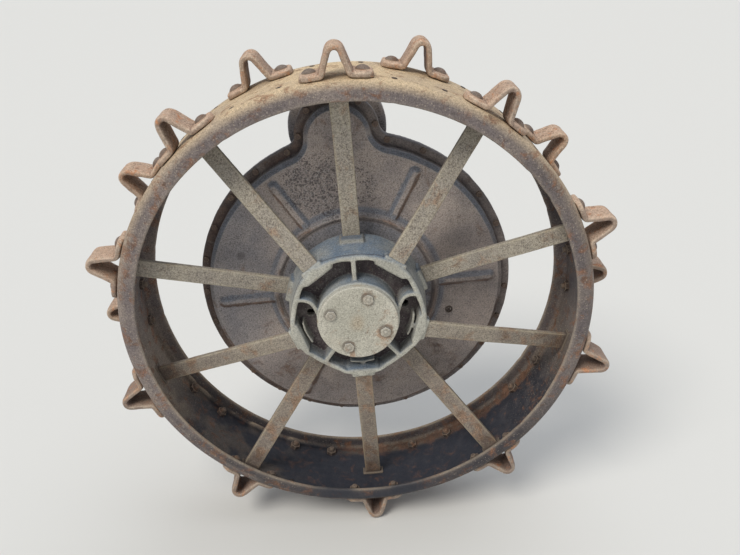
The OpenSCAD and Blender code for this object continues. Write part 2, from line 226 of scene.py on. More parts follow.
def rounded_path(corners: list[Triple], spacing: float, closed: bool = False,
                 arc_steps: int = 5) -> Array:
    """A path of straight lines whose corners are rounded by arcs tangent to both lines.

    Args:
        corners: (x, y, radius) of each corner.
        spacing: largest distance between points on the straight parts.
        closed: whether the last corner leads back to the first.
        arc_steps: number of steps in each arc.

    Returns:
        The points, shape (n, 2). A corner of radius r starts r * tan(turn / 2) before it.
    """
    pts = np.array([c[:2] for c in corners], float)
    count = len(pts)
    pieces: list[Array] = []
    for k, (_, _, radius) in enumerate(corners):
        if not closed and k in (0, count - 1):
            pieces.append(pts[k][None])
            continue
        before, after = pts[k - 1] - pts[k], pts[(k + 1) % count] - pts[k]
        a, b = before / np.linalg.norm(before), after / np.linalg.norm(after)
        half = math.acos(float(np.clip(a @ b, -1.0, 1.0))) / 2.0
        if radius <= 0.0 or half > math.pi / 2.0 - 1e-4:
            pieces.append(pts[k][None])
            continue
        room = 0.48 * min(np.linalg.norm(before), np.linalg.norm(after))
        reach = min(radius / math.tan(half), room)
        radius = reach * math.tan(half)
        centre = pts[k] + (a + b) / np.linalg.norm(a + b) * radius / math.sin(half)
        start, end = pts[k] + a * reach - centre, pts[k] + b * reach - centre
        t = np.linspace(0.0, 1.0, arc_steps + 1)[:, None]
        sweep = math.pi - 2.0 * half
        arc = (np.sin((1.0 - t) * sweep) * start + np.sin(t * sweep) * end) / math.sin(sweep)
        pieces.append(centre + arc)
    path = np.vstack(pieces)
    ends = np.vstack([path, path[:1]]) if closed else path
    out: list[Array] = []
    for a, b in zip(ends[:-1], ends[1:]):
        steps = max(1, math.ceil(float(np.linalg.norm(b - a)) / spacing - 1e-6))
        out.append(a + (b - a) * np.arange(steps)[:, None] / steps)
    if not closed:
        out.append(ends[-1:])
    return np.vstack(out)


# ---------------------------------------------------------------- meshes


class Shell:
    """The points and faces of one piece, gathered from closed surfaces on grids."""

    def __init__(self) -> None:
        """Starts with no points."""
        self.points: list[Array] = []
        self.faces: list[Array] = []
        self.count = 0

    def solid(self, grid: Array, wrap_rows: bool = False, wrap_cols: bool = True) -> None:
        """Adds a closed surface, with its faces turned outward by the sign of its volume.

        Args:
            grid: points, shape (rows, columns, 3). A first or last row of one repeated point
                is a pole.
            wrap_rows: whether the last row joins the first.
            wrap_cols: whether the last column joins the first.
        """
        rows, cols = grid.shape[:2]
        index = np.arange(rows * cols).reshape(rows, cols)
        for k in (0, rows - 1):
            if np.ptp(grid[k], axis=0).max() < 1e-9:
                index[k] = index[k, 0]
        if wrap_rows:
            index = np.vstack([index, index[:1]])
        if wrap_cols:
            index = np.hstack([index, index[:, :1]])
        corners = [index[:-1, :-1], index[:-1, 1:], index[1:, 1:], index[1:, :-1]]
        quads = np.stack(corners, -1).reshape(-1, 4)
        points = grid.reshape(-1, 3)
        p = points[quads]
        volume = (np.cross(p[:, 1] - p[:, 0], p[:, 2] - p[:, 0]) * p[:, 0]).sum()
        volume += (np.cross(p[:, 2] - p[:, 0], p[:, 3] - p[:, 0]) * p[:, 0]).sum()
        if volume < 0.0:
            quads = quads[:, ::-1]
        used, inverse = np.unique(quads, return_inverse=True)
        self.points.append(points[used])
        self.faces.append(inverse.reshape(quads.shape) + self.count)
        self.count += len(used)

    def mesh(self, name: str) -> Mesh:
        """Makes the mesh. A quad with two equal corners becomes a triangle."""
        points, quads = np.vstack(self.points), np.vstack(self.faces)
        same = quads == np.roll(quads, -1, axis=1)
        full = quads[~same.any(1)]
        thin = quads[same.sum(1) == 1]
        tris = thin[~same[same.sum(1) == 1]].reshape(-1, 3)
        loops = np.concatenate([full.ravel(), tris.ravel()]).astype(np.int32)
        starts = np.concatenate([np.arange(len(full)) * 4,
                                 len(full) * 4 + np.arange(len(tris)) * 3])
        mesh = bpy.data.meshes.new(name)
        mesh.vertices.add(len(points))
        mesh.vertices.foreach_set("co", points.astype(np.float32).ravel())
        mesh.loops.add(len(loops))
        mesh.loops.foreach_set("vertex_index", loops)
        mesh.polygons.add(len(starts))
        mesh.polygons.foreach_set("loop_start", starts.astype(np.int32))
        mesh.update(calc_edges=True)
        mesh.validate()
        return mesh

    def piece(self, name: str) -> Object:
        """Makes the object, at the origin, with smooth faces."""
        return new_object(name, self.mesh(name))


def gathered(name: str, grids: list[Array], wrap_rows: bool = False) -> Object:
    """One object of closed surfaces that are given in plan."""
    shell = Shell()
    for grid in grids:
        shell.solid(to_row(grid), wrap_rows)
    return shell.piece(name)


def linked(name: str, data: bpy.types.ID) -> Object:
    """A new object for a mesh, lamp or camera, put in the scene."""
    made = bpy.data.objects.new(name, data)
    bpy.context.scene.collection.objects.link(made)
    return made


def new_object(name: str, mesh: Mesh) -> Object:
    """A new smooth object for a mesh."""
    mesh.name = name
    mesh.shade_smooth()
    return linked(name, mesh)


def read(items: bpy.types.bpy_prop_collection, name: str, width: int,
         kind: type = np.float32) -> Array:
    """One property of a mesh's points, edges or triangles, shape (n, width)."""
    flat = np.empty(len(items) * width, kind)
    items.foreach_get(name, flat)
    return flat.reshape(-1, width)


def coordinates(mesh: Mesh) -> Array:
    """The mesh's points, shape (n, 3)."""
    return read(mesh.vertices, "co", 3).astype(float)


def normals(mesh: Mesh) -> Array:
    """The points' outward directions, shape (n, 3)."""
    return read(mesh.vertex_normals, "vector", 3).astype(float)


def edge_ends(mesh: Mesh) -> Array:
    """The two point numbers of each edge, shape (n, 2)."""
    return read(mesh.edges, "vertices", 2, np.int32)


def move_points(mesh: Mesh, points: Array) -> None:
    """Puts the mesh's points at new places."""
    mesh.vertices.foreach_set("co", points.astype(np.float32).ravel())
    mesh.update()


def neighbour_mean(ends: Array, values: Array) -> Array:
    """Mean over each point's neighbours. Formula: sum over edges divided by their number."""
    total = np.zeros_like(values)
    np.add.at(total, ends[:, 0], values[ends[:, 1]])
    np.add.at(total, ends[:, 1], values[ends[:, 0]])
    number = np.bincount(ends.ravel(), minlength=len(values)).clip(1)
    return total / number.reshape(-1, *([1] * (values.ndim - 1)))


def relax(mesh: Mesh, rounds: int) -> None:
    """Smooths a remeshed casting without shrinking it.

    Formula: each round moves every point by the share RELAX_IN to its neighbours' mean and
    then by the share RELAX_OUT back from the new mean.
    """
    ends, points = edge_ends(mesh), coordinates(mesh)
    for _ in range(rounds):
        points = points + RELAX_IN * (neighbour_mean(ends, points) - points)
        points = points - RELAX_OUT * (neighbour_mean(ends, points) - points)
    move_points(mesh, points)


def roughen(mesh: Mesh, height: float, per_metre: float, layers: int, seed: int,
            mask: Array | float = 1.0) -> None:
    """Moves the points along their normals by layered noise of the given height."""
    points = coordinates(mesh)
    lift = height * layered_noise(points, per_metre, layers, seed) * mask
    move_points(mesh, points + normals(mesh) * np.reshape(lift, (-1, 1)))


def store(mesh: Mesh, name: str, values: Array) -> None:
    """Keeps one number for each point as an attribute that materials read."""
    layer = mesh.attributes.new(name, "FLOAT", "POINT")
    layer.data.foreach_set("value", np.asarray(values, np.float32).ravel())


def store_wear(mesh: Mesh, spread: int = 2, sharp: float = 350.0) -> None:
    """Keeps how far each point stands on an edge, lies in a hollow and faces up.

    Formula: the curvature at a point is the mean over its edges of
    2 n . (p - q) / |p - q|^2; an edge counts fully at the curvature given as sharp.
    """
    points, out, ends = coordinates(mesh), normals(mesh), edge_ends(mesh)
    line = points[ends[:, 0]] - points[ends[:, 1]]
    length = np.einsum("ij,ij->i", line, line).clip(1e-9)
    bend = np.zeros(len(points))
    np.add.at(bend, ends[:, 0], 2.0 * np.einsum("ij,ij->i", out[ends[:, 0]], line) / length)
    np.add.at(bend, ends[:, 1], -2.0 * np.einsum("ij,ij->i", out[ends[:, 1]], line) / length)
    bend /= np.bincount(ends.ravel(), minlength=len(points)).clip(1)
    edge, hollow = np.clip(bend / sharp, 0.0, 1.0), np.clip(-bend / sharp, 0.0, 1.0)
    for _ in range(spread):
        edge = 0.5 * edge + 0.5 * neighbour_mean(ends, edge)
        hollow = 0.5 * hollow + 0.5 * neighbour_mean(ends, hollow)
    store(mesh, "edge", edge)
    store(mesh, "hollow", hollow)
    store(mesh, "up", np.clip(out[:, 2], 0.0, 1.0))


def remeshed(parts: list[Mesh], name: str, voxel: float, rounds: int) -> Mesh:
    """Fuses overlapping closed meshes into one casting with soft edges.

    Args:
        parts: closed meshes, which are deleted.
        name: name of the new mesh.
        voxel: size of the remesh's cells.
        rounds: smoothing rounds after it.

    Returns:
        The fused mesh.
    """
    shell_points, shell_faces, count = [], [], 0
    for part in parts:
        part.calc_loop_triangles()
        shell_points.append(coordinates(part))
        shell_faces.append(read(part.loop_triangles, "vertices", 3, np.int32) + count)
        count += len(part.vertices)
    points = np.round(np.vstack(shell_points), 6)
    points, inverse = np.unique(points, axis=0, return_inverse=True)
    faces = inverse.reshape(-1)[np.vstack(shell_faces)]
    faces = faces[(faces != np.roll(faces, -1, axis=1)).all(1)]
    rough = bpy.data.meshes.new(name + "_rough")
    rough.from_pydata(points.tolist(), [], faces.tolist())
    holder = linked(name + "_rough", rough)
    cells = holder.modifiers.new("cells", "REMESH")
    cells.mode, cells.voxel_size, cells.adaptivity = "VOXEL", voxel, 0.0
    graph = bpy.context.evaluated_depsgraph_get()
    mesh = bpy.data.meshes.new_from_object(holder.evaluated_get(graph))
    bpy.data.objects.remove(holder)
    for part in [rough, *parts]:
        bpy.data.meshes.remove(part)
    mesh.name = name
    relax(mesh, rounds)
    return mesh


def cut(mesh: Mesh, tools: Shell) -> Mesh:
    """The mesh with the tools' closed surfaces cut out of it."""
    body, tool = linked("cut_body", mesh), linked("cut_tool", tools.mesh("cut_tool"))
    step = body.modifiers.new("cut", "BOOLEAN")
    step.operation, step.solver, step.object = "DIFFERENCE", "EXACT", tool
    graph = bpy.context.evaluated_depsgraph_get()
    result = bpy.data.meshes.new_from_object(body.evaluated_get(graph))
    spent = [tool.data, mesh]
    for thing in (body, tool):
        bpy.data.objects.remove(thing)
    for old in spent:
        bpy.data.meshes.remove(old)
    return result


# ---------------------------------------------------------------- simple solids


def revolve(profile: Array, steps: int) -> Array:
    """Carries a profile of (radius, depth) round the axle. Returns a grid in plan."""
    angle = np.linspace(0.0, 2.0 * math.pi, steps, endpoint=False)
    radius, depth = profile[:, :1], profile[:, 1:]
    return np.stack([radius * np.cos(angle), radius * np.sin(angle), depth + 0.0 * angle], -1)


def pin(radius: float, low: float, high: float, steps: int) -> Array:
    """A plain round bar round the axle, from one depth to another."""
    return revolve(np.array([[0.0, low], [radius, low], [radius, high], [0.0, high]]), steps)


def wall(path: Array, thickness: float, low: float, high: float) -> Array:
    """A closed wall along a plan path: the section at each point is a rectangle across it."""
    along = np.gradient(path, axis=0)
    across = np.stack([-along[:, 1], along[:, 0]], -1)
    across *= thickness / 2.0 / np.linalg.norm(across, axis=1, keepdims=True)
    corners = ((path + across, low), (path + across, high),
               (path - across, high), (path - across, low))
    return capped(np.stack([level(side, depth) for side, depth in corners], 1))


def rounded_box(half: Triple, radius: float, steps: int = 5) -> Array:
    """A box about the origin with rounded edges, as a grid with two poles.

    Formula: a point of direction d lies at sign(d) * (half - radius) + radius * d.
    """
    quarter = np.linspace(0.0, math.pi / 2.0, steps + 1)
    lon = np.concatenate([quarter + k * math.pi / 2.0 for k in range(4)])
    side = np.repeat(np.array([[1, 1], [-1, 1], [-1, -1], [1, -1]]), steps + 1, axis=0)
    lat = np.concatenate([quarter - math.pi / 2.0, quarter])
    level = np.repeat([-1.0, 1.0], steps + 1)
    inner = np.array(half) - radius
    ring = np.stack([np.cos(lon), np.sin(lon)], -1)
    flat = side * inner[:2] + radius * np.cos(lat)[:, None, None] * ring
    up = (level * inner[2] + radius * np.sin(lat))[:, None] + np.zeros(len(lon))
    grid = np.dstack([flat, up])
    pole = [np.broadcast_to([0.0, 0.0, z], grid[0].shape)[None] for z in (-half[2], half[2])]
    return np.concatenate([pole[0], grid, pole[1]])


def hex_head(across: float, height: float, flange: float = 0.0, steps: int = 8) -> Array:
    """A bolt head or nut that stands on z = 0: a hexagon with a chamfered top.

    Formula: a side's distance at angle a from its middle is flat / cos(a), and near the top no
    point is further out than a cone allows.

    Args:
        across: width across the flats.
        height: height over z = 0.
        flange: how far a round washer face reaches past the flats.
        steps: points along each side.

    Returns:
        A grid with poles under and over it.
    """
    angle = np.linspace(0.0, 2.0 * math.pi, 6 * steps, endpoint=False)
    side = (angle + math.pi / 6.0) % (math.pi / 3.0) - math.pi / 6.0
    hexagon = across / 2.0 / np.cos(side)
    corner = across / math.sqrt(3.0)
    levels = [(0.0, 1.0), (0.03, 1.0), (0.80, 1.0), (0.87, 0.985), (0.94, 0.94), (1.0, 0.84)]
    rows = [level(np.minimum(hexagon, corner * limit), up * height) for up, limit in levels]
    if flange > 0.0:
        disc = np.full(len(angle), across / 2.0 + flange)
        rim = 0.12 * height
        rows = [level(disc, 0.0), level(disc, rim * 0.6), level(disc - flange * 0.3, rim),
                level(np.minimum(hexagon, disc), rim * 1.1), *rows[2:]]
    rows.append(rows[-1] * [0.9, 1.0])
    radius, up = np.moveaxis(np.stack(rows), -1, 0)
    grid = np.stack([radius * np.cos(angle), radius * np.sin(angle), up], -1)
    return np.concatenate([0.0 * grid[:1], grid, grid[-1:] * [0.0, 0.0, 1.0]])


def dome_head(radius: float, height: float, steps: int = 28) -> Array:
    """A low round bolt head on z = 0. Formula: the height falls as 1 - (r / R)^2.6."""
    share = np.sin(np.linspace(0.0, math.pi / 2.0, 9))[::-1]
    profile = np.column_stack([share * radius, height * (0.25 + 0.75 * (1.0 - share**2.6))])
    profile[-1, 0] = 0.0
    profile = np.vstack([[0.0, 0.0], [radius, 0.0], profile])
    return revolve(profile, steps)


def stud(radius: float, height: float, steps: int = 16) -> Array:
    """A round bolt end with a chamfer, standing on z = 0."""
    chamfer = 0.2 * radius
    profile = np.array([[0.0, 0.0], [radius, 0.0], [radius, height - chamfer],
                        [radius - chamfer, height], [0.0, height]])
    return revolve(profile, steps)


def place(grid: Array, origin: Array, right: Array, up: Array) -> Array:
    """Stands a grid on a point, with its x along right and its z along up."""
    right = right - up * (right @ up)
    right, up = right / np.linalg.norm(right), up / np.linalg.norm(up)
    return grid @ np.stack([right, np.cross(up, right), up]) + origin


# ---------------------------------------------------------------- finishes


@dataclass(frozen=True)
class Finish:
    """Weathered iron: worn paint, rust, dust and dark speckle in layers, with painted light and
    shade among them.

    Colours are screen colours. Scales are in features per metre.
    """

    name: str
    ground: Rgb
    second: Rgb
    zone: Rgb
    rust_and_warm_light: Rgb
    dark: Rgb
    worn_and_highlight: Rgb
    dust_and_top_light: Rgb
    patch_scale: float = 11.0
    rust_scale: float = 26.0
    rust_level: float = 0.60
    rust_depth: float = 0.9
    speck_scale: float = 190.0
    speck_depth: float = 0.75
    pale_depth: float = 0.35
    grain_scale: float = 340.0
    grain_depth: float = 0.15
    edge_depth: float = 0.7
    dust_and_top_light_depth: float = 0.45
    hollow_depth: float = 0.75
    relief: float = 0.0007
    rough: Pair = (0.62, 0.9)
    metallic: float = 0.0
    shift: float = 0.0

    def material(self) -> bpy.types.Material:
        """The finish's material, made once."""
        found = bpy.data.materials.get(self.name)
        if found:
            return found
        made = bpy.data.materials.new(self.name)
        Weathering(made, self).build()
        return made


class Weathering:
    """Builds the nodes of one weathered finish."""

    # The damp colour also paints shade in the rim's inside at the foot.
    damp_and_shade: Rgb = (42, 46, 56)
    damp_share: float = 0.85
    specular: float = 0.32
    bump: float = 0.8

    def __init__(self, material: bpy.types.Material, finish: Finish) -> None:
        """Empties the material and adds its shader and its coordinates, moved by the shift."""
        material.use_nodes = True
        self.tree, self.finish = material.node_tree, finish
        self.tree.nodes.clear()
        self.shader = self.node("ShaderNodeBsdfPrincipled")
        self.node("ShaderNodeOutputMaterial", Surface=self.shader.outputs[0])
        own = self.node("ShaderNodeTexCoord").outputs["Object"]
        away = (finish.shift, 1.7 * finish.shift, -0.6 * finish.shift)
        self.coords = self.node("ShaderNodeMapping", Location=away, Vector=own).outputs[0]

    def feed(self, socket: Socket, value: object) -> None:
        """Links a socket into another, or sets its number or colour."""
        if isinstance(value, Socket):
            self.tree.links.new(value, socket)
        else:
            socket.default_value = value

    def node(self, kind: str, **inputs: object) -> bpy.types.Node:
        """A new node with the named inputs fed."""
        made = self.tree.nodes.new(kind)
        for name, value in inputs.items():
            self.feed(made.inputs[name], value)
        return made

    def noise(self, scale: float, detail: float = 3.0, rough: float = 0.55,
              warp: float = 0.0) -> Socket:
        """Noise of about 0.25 to 0.75 on the piece's own coordinates."""
        return self.node("ShaderNodeTexNoise", Scale=scale, Detail=detail, Roughness=rough,
                         Distortion=warp, Vector=self.coords).outputs["Fac"]

    def dots(self, scale: float, density: object) -> Socket:
        """Round dark specks, one in each random cell that the density reaches.

        Formula: a speck's radius is 0.28 + 0.60 * (density - r) cells, where r is the cell's own
        random number, and noise shifts the cells' points so that no speck is a true circle.
        """
        warp = self.node("ShaderNodeTexNoise", Scale=scale * 1.3, Detail=1.0, Vector=self.coords)
        shift = self.node("ShaderNodeVectorMath")
        shift.operation = "MULTIPLY_ADD"
        for socket, value in zip(shift.inputs,
                                 (warp.outputs["Color"], (1.1 / scale,) * 3, self.coords)):
            self.feed(socket, value)
        cells = self.node("ShaderNodeTexVoronoi", Scale=scale, Vector=shift.outputs[0])
        own = self.node("ShaderNodeSeparateColor", Color=cells.outputs["Color"])
        lift = self.calc("SUBTRACT", density, own.outputs[0], False)
        radius = self.calc("ADD", self.times(lift, 0.60), 0.28, False)
        past = self.calc("SUBTRACT", radius, cells.outputs["Distance"], False)
        return self.step(past, -0.06, 0.07)

    def calc(self, kind: str, a: object, b: object, limit: bool = True) -> Socket:
        """A sum or difference of two numbers, kept between 0 and 1 unless limit is off."""
        node = self.node("ShaderNodeMath")
        node.operation, node.use_clamp = kind, limit
        self.feed(node.inputs[0], a)
        self.feed(node.inputs[1], b)
        return node.outputs[0]

    def times(self, a: object, b: object) -> Socket:
        """The product of two numbers."""
        return self.calc("MULTIPLY", a, b, False)

    def plus(self, a: object, b: object) -> Socket:
        """The sum of two numbers, kept between 0 and 1."""
        return self.calc("ADD", a, b)

    def minus(self, a: object, b: object) -> Socket:
        """The difference of two numbers, kept between 0 and 1."""
        return self.calc("SUBTRACT", a, b)

    def step(self, value: Socket, low: float, high: float, to_low: float = 0.0,
             to_high: float = 1.0) -> Socket:
        """Maps low..high to to_low..to_high with a smoothstep."""
        ranges = {"From Min": low, "From Max": high, "To Min": to_low, "To Max": to_high}
        node = self.node("ShaderNodeMapRange", Value=value, **ranges)
        node.interpolation_type = "SMOOTHSTEP"
        return node.outputs["Result"]

    def attribute(self, name: str) -> Socket:
        """One number that the piece keeps for each point."""
        node = self.node("ShaderNodeAttribute")
        node.attribute_name = name
        return node.outputs["Fac"]

    def mix(self, share: object, a: object, b: object, kind: str = "MIX") -> Socket:
        """Mixes two colours by a share of 0 to 1."""
        node = self.node("ShaderNodeMix")
        node.data_type, node.blend_type = "RGBA", kind
        for socket, value in ((node.inputs["Factor"], share), (node.inputs[6], a),
                              (node.inputs[7], b)):
            self.feed(socket, value)
        return node.outputs[2]

    def build(self) -> None:
        """Layers the colour, relief and roughness."""
        f, times, step = self.finish, self.times, self.step
        zone, edge, damp_and_shade = map(self.attribute, ("zone", "edge", "damp_and_shade"))
        # Two tones in patches, the zone's own colour, and dust with painted sun and sky light where
        # the surface faces up.
        patches = self.noise(f.patch_scale, detail=4.0, rough=0.6, warp=0.3)
        cloud = self.noise(f.patch_scale * 3.7, rough=0.6)
        colour = self.mix(step(patches, 0.38, 0.62), linear(f.ground), linear(f.second))
        colour = self.mix(times(zone, step(cloud, 0.2, 0.6, 0.75, 1.0)), colour, linear(f.zone))
        dust_and_top_light = times(self.attribute("up"), step(patches, 0.3, 0.6, 0.6, 1.0))
        dust_and_top_light = times(dust_and_top_light, self.minus(1.0, zone))
        colour = self.mix(times(dust_and_top_light, f.dust_and_top_light_depth), colour, linear(f.dust_and_top_light))

        # Rust in blooms, more of it on edges and where the piece asks for it, which also paints
        # warm light on the case cover and sunlight on the rim.
        bloom = self.noise(f.rust_scale, detail=6.0, rough=0.66, warp=0.5)
        lifted = self.plus(bloom, times(edge, 0.06))
        lifted = self.plus(lifted, times(self.attribute("rust_and_warm_light"), 0.30))
        rusty = times(step(lifted, f.rust_level - 0.07, f.rust_level + 0.09), f.rust_depth)
        dull = tuple(int(c * 0.76) for c in f.rust_and_warm_light)
        orange = self.mix(step(cloud, 0.35, 0.65), linear(f.rust_and_warm_light), linear(dull))
        colour = self.mix(rusty, colour, orange)

        # Fine grain, light and dark.
        grain = self.noise(f.grain_scale, detail=4.0, rough=0.75)
        shade = step(grain, 0.36, 0.64, 1.0 - 1.6 * f.grain_depth, 1.0 + 1.4 * f.grain_depth)
        grey = self.node("ShaderNodeCombineColor", Red=shade, Green=shade, Blue=shade)
        colour = self.mix(1.0, colour, grey.outputs[0], "MULTIPLY")

        # Dark specks in two sizes and pale ones, which don't show on damp iron and painted shade.
        often = times(self.attribute("speck"), step(cloud, 0.3, 0.6, 0.65, 1.0))
        coarse = times(self.dots(f.speck_scale, often), step(often, 0.30, 0.55, 0.45, 1.0))
        fine = times(self.dots(f.speck_scale * 1.9, often), 0.75)
        specks = times(self.calc("MAXIMUM", coarse, fine, False), f.speck_depth)
        colour = self.mix(specks, colour, linear(f.dark))
        pale = times(self.dots(f.speck_scale * 1.3, times(often, 0.7)), f.pale_depth)
        colour = self.mix(times(pale, self.minus(1.0, damp_and_shade)), colour, linear(f.worn_and_highlight))

        # Worn edges with painted highlights, darkening in the hollows, dark dirt and painted shade,
        # and damp with painted shade.
        worn_and_highlight = times(edge, step(cloud, 0.32, 0.62, 0.35, 1.0))
        colour = self.mix(times(worn_and_highlight, f.edge_depth), colour, linear(f.worn_and_highlight))
        dirt_and_shade = times(self.attribute("grime_and_shade"), step(cloud, 0.25, 0.7, 0.75, 1.0))
        deep = self.plus(times(self.attribute("hollow"), f.hollow_depth), dirt_and_shade)
        colour = self.mix(deep, colour, linear(f.dark))
        colour = self.mix(times(damp_and_shade, self.damp_share), colour, linear(self.damp_and_shade))
        self.tree.links.new(colour, self.shader.inputs["Base Color"])

        # Roughness, which damp lowers.
        matt = self.noise(f.patch_scale * 7.0, detail=4.0, rough=0.6)
        matt = step(matt, 0.25, 0.75, *f.rough)
        wet = self.minus(matt, times(damp_and_shade, 0.25))
        self.tree.links.new(wet, self.shader.inputs["Roughness"])
        self.shader.inputs["Metallic"].default_value = f.metallic
        self.shader.inputs["Specular IOR Level"].default_value = self.specular

        # Relief: grain and soft bumps, rust a little higher and specks a little lower.
        height = self.plus(times(grain, 0.30), times(cloud, 0.30))
        height = self.minus(self.plus(height, times(rusty, 0.12)), times(specks, 0.16))
        bump = self.node("ShaderNodeBump", Strength=self.bump, Distance=f.relief * 2.2,
                         Height=height)
        self.tree.links.new(bump.outputs[0], self.shader.inputs["Normal"])


# On some pieces these colours paint light: the zone colour paints shade on the rim, lugs, spokes
# and hub and sky light on the case cover; the dust colour paints sun and sky light on faces that
# look up; the worn colour paints highlights on edges; the rust colour paints warm light on the case
# cover and sunlight on the rim.
RIM_RUST = Finish(
    "rim_rust", ground=(137, 126, 120), second=(116, 107, 106), zone=(46, 46, 53),
    rust_and_warm_light=(140, 98, 72), dark=(58, 52, 52), worn_and_highlight=(200, 186, 166), dust_and_top_light=(228, 202, 160),
    rust_level=0.58, rust_scale=38.0, rust_depth=0.75, dust_and_top_light_depth=0.74, speck_depth=0.5,
    speck_scale=215.0, grain_depth=0.17, shift=0.3)
LUG_RUST = Finish(
    "lug_rust", ground=(168, 140, 120), second=(134, 114, 104), zone=(96, 84, 82),
    rust_and_warm_light=(186, 122, 78), dark=(74, 56, 50), worn_and_highlight=(232, 216, 192), dust_and_top_light=(214, 184, 158),
    rust_level=0.60, rust_scale=55.0, dust_and_top_light_depth=0.55, speck_depth=0.6, speck_scale=215.0,
    edge_depth=0.9, grain_depth=0.17, shift=1.3)
SPOKE_PAINT = Finish(
    "spoke_paint", ground=(172, 164, 149), second=(156, 149, 138), zone=(118, 104, 95),
    rust_and_warm_light=(154, 120, 94), dark=(90, 80, 74), worn_and_highlight=(194, 184, 158), dust_and_top_light=(166, 160, 152),
    rust_level=0.62, rust_depth=0.7, speck_depth=0.72, speck_scale=225.0, grain_depth=0.20,
    shift=2.3)
HUB_IRON = Finish(
    "hub_iron", ground=(190, 188, 176), second=(172, 170, 159), zone=(84, 74, 76),
    rust_and_warm_light=(160, 134, 108), dark=(52, 47, 52), worn_and_highlight=(198, 195, 180), dust_and_top_light=(102, 121, 142),
    rust_level=0.68, dust_and_top_light_depth=0.97, speck_depth=0.5, speck_scale=235.0, shift=3.3)
CAP_IRON = Finish(
    "cap_iron", ground=(198, 194, 180), second=(180, 177, 163), zone=(176, 160, 136),
    rust_and_warm_light=(172, 134, 104), dark=(104, 95, 86), worn_and_highlight=(204, 200, 186), dust_and_top_light=(188, 190, 186),
    rust_level=0.66, rust_scale=30.0, rust_depth=0.7, speck_depth=0.5, speck_scale=250.0,
    shift=4.3)
CASE_IRON = Finish(
    "case_iron", ground=(182, 169, 160), second=(160, 150, 145), zone=(124, 129, 139),
    rust_and_warm_light=(132, 102, 82), dark=(72, 66, 68), worn_and_highlight=(184, 182, 180), dust_and_top_light=(126, 131, 139),
    rust_level=0.68, rust_scale=15.0, speck_depth=0.75, edge_depth=0.6, dust_and_top_light_depth=0.7,
    speck_scale=205.0, rust_depth=0.8, grain_depth=0.17, shift=5.3)
BOLT_RUST = Finish(
    "bolt_rust", ground=(120, 102, 92), second=(98, 85, 79), zone=(60, 52, 51),
    rust_and_warm_light=(124, 88, 66), dark=(46, 40, 40), worn_and_highlight=(166, 148, 128), dust_and_top_light=(136, 126, 118),
    rust_level=0.62, speck_scale=320.0, shift=6.3)
CAP_BOLT = Finish(
    "cap_bolt_rust", ground=(184, 178, 164), second=(168, 160, 146), zone=(120, 106, 92),
    rust_and_warm_light=(164, 130, 104), dark=(76, 68, 62), worn_and_highlight=(208, 205, 194), dust_and_top_light=(184, 188, 190),
    rust_level=0.66, speck_scale=340.0, shift=7.3)
BARE_STEEL = Finish(
    "bare_steel", ground=(120, 118, 114), second=(104, 102, 100), zone=(90, 88, 86),
    rust_and_warm_light=(110, 84, 64), dark=(44, 42, 42), worn_and_highlight=(168, 166, 160), dust_and_top_light=(120, 120, 120),
    rust_level=0.68, metallic=0.6, rough=(0.35, 0.6), shift=8.3)


def dress(piece: Object, finish: Finish, body: Body, nodes: list[str],
          zone: Array | float = 0.0, speck: Array | float = 0.4, damp_and_shade: Array | float = 0.0,
          rust_and_warm_light: Array | float = 0.0, grime_and_shade: Array | float = 0.0, spread: int = 2) -> None:
    """Gives a finished piece its wear, material, slot and body, inside the frame's box.

    Args:
        piece: the object.
        finish: its material.
        body: the body that it rides on.
        nodes: CAD nodes that it stands for.
        zone: share of the finish's zone colour at each point.
        speck: how densely dark specks lie at each point.
        damp_and_shade: how damp each point is, with painted shade in the rim's inside at the foot.
        rust_and_warm_light: how much more rust than chance each point has, with painted warm light
            on some pieces.
        grime_and_shade: how much dark dirt and painted shade covers each point.
        spread: how far wear spreads from an edge, in rounds.
    """
    mesh = piece.data
    low, high = np.array(CAD_BOUNDS[0]) + MARGIN, np.array(CAD_BOUNDS[1]) - MARGIN
    move_points(mesh, np.clip(coordinates(mesh), low, high))
    store_wear(mesh, spread)
    layers = {"zone": zone, "speck": speck, "damp_and_shade": damp_and_shade, "rust_and_warm_light": rust_and_warm_light, "grime_and_shade": grime_and_shade}
    for name, values in layers.items():
        store(mesh, name, np.broadcast_to(values, len(mesh.vertices)))
    mesh.materials.clear()
    mesh.materials.append(finish.material())
    if nodes:
        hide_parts(*nodes)
    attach(piece, body.value)
    LOG.info("%s: %d points, %s on %s", piece.name, len(mesh.vertices), finish.name, body.value)


def upper_specks(mesh: Mesh, low: float, high: float) -> Array:
    """Density of dark specks: it grows from the wheel's foot to its top, in loose patches."""
    points = coordinates(mesh)
    height = to_plan(points)[..., 1] + 0.05 * value_noise(points, 9.0, seed=71)
    return low + (high - low) * smooth(height, -0.30, 0.42)


# ---------------------------------------------------------------- wheel


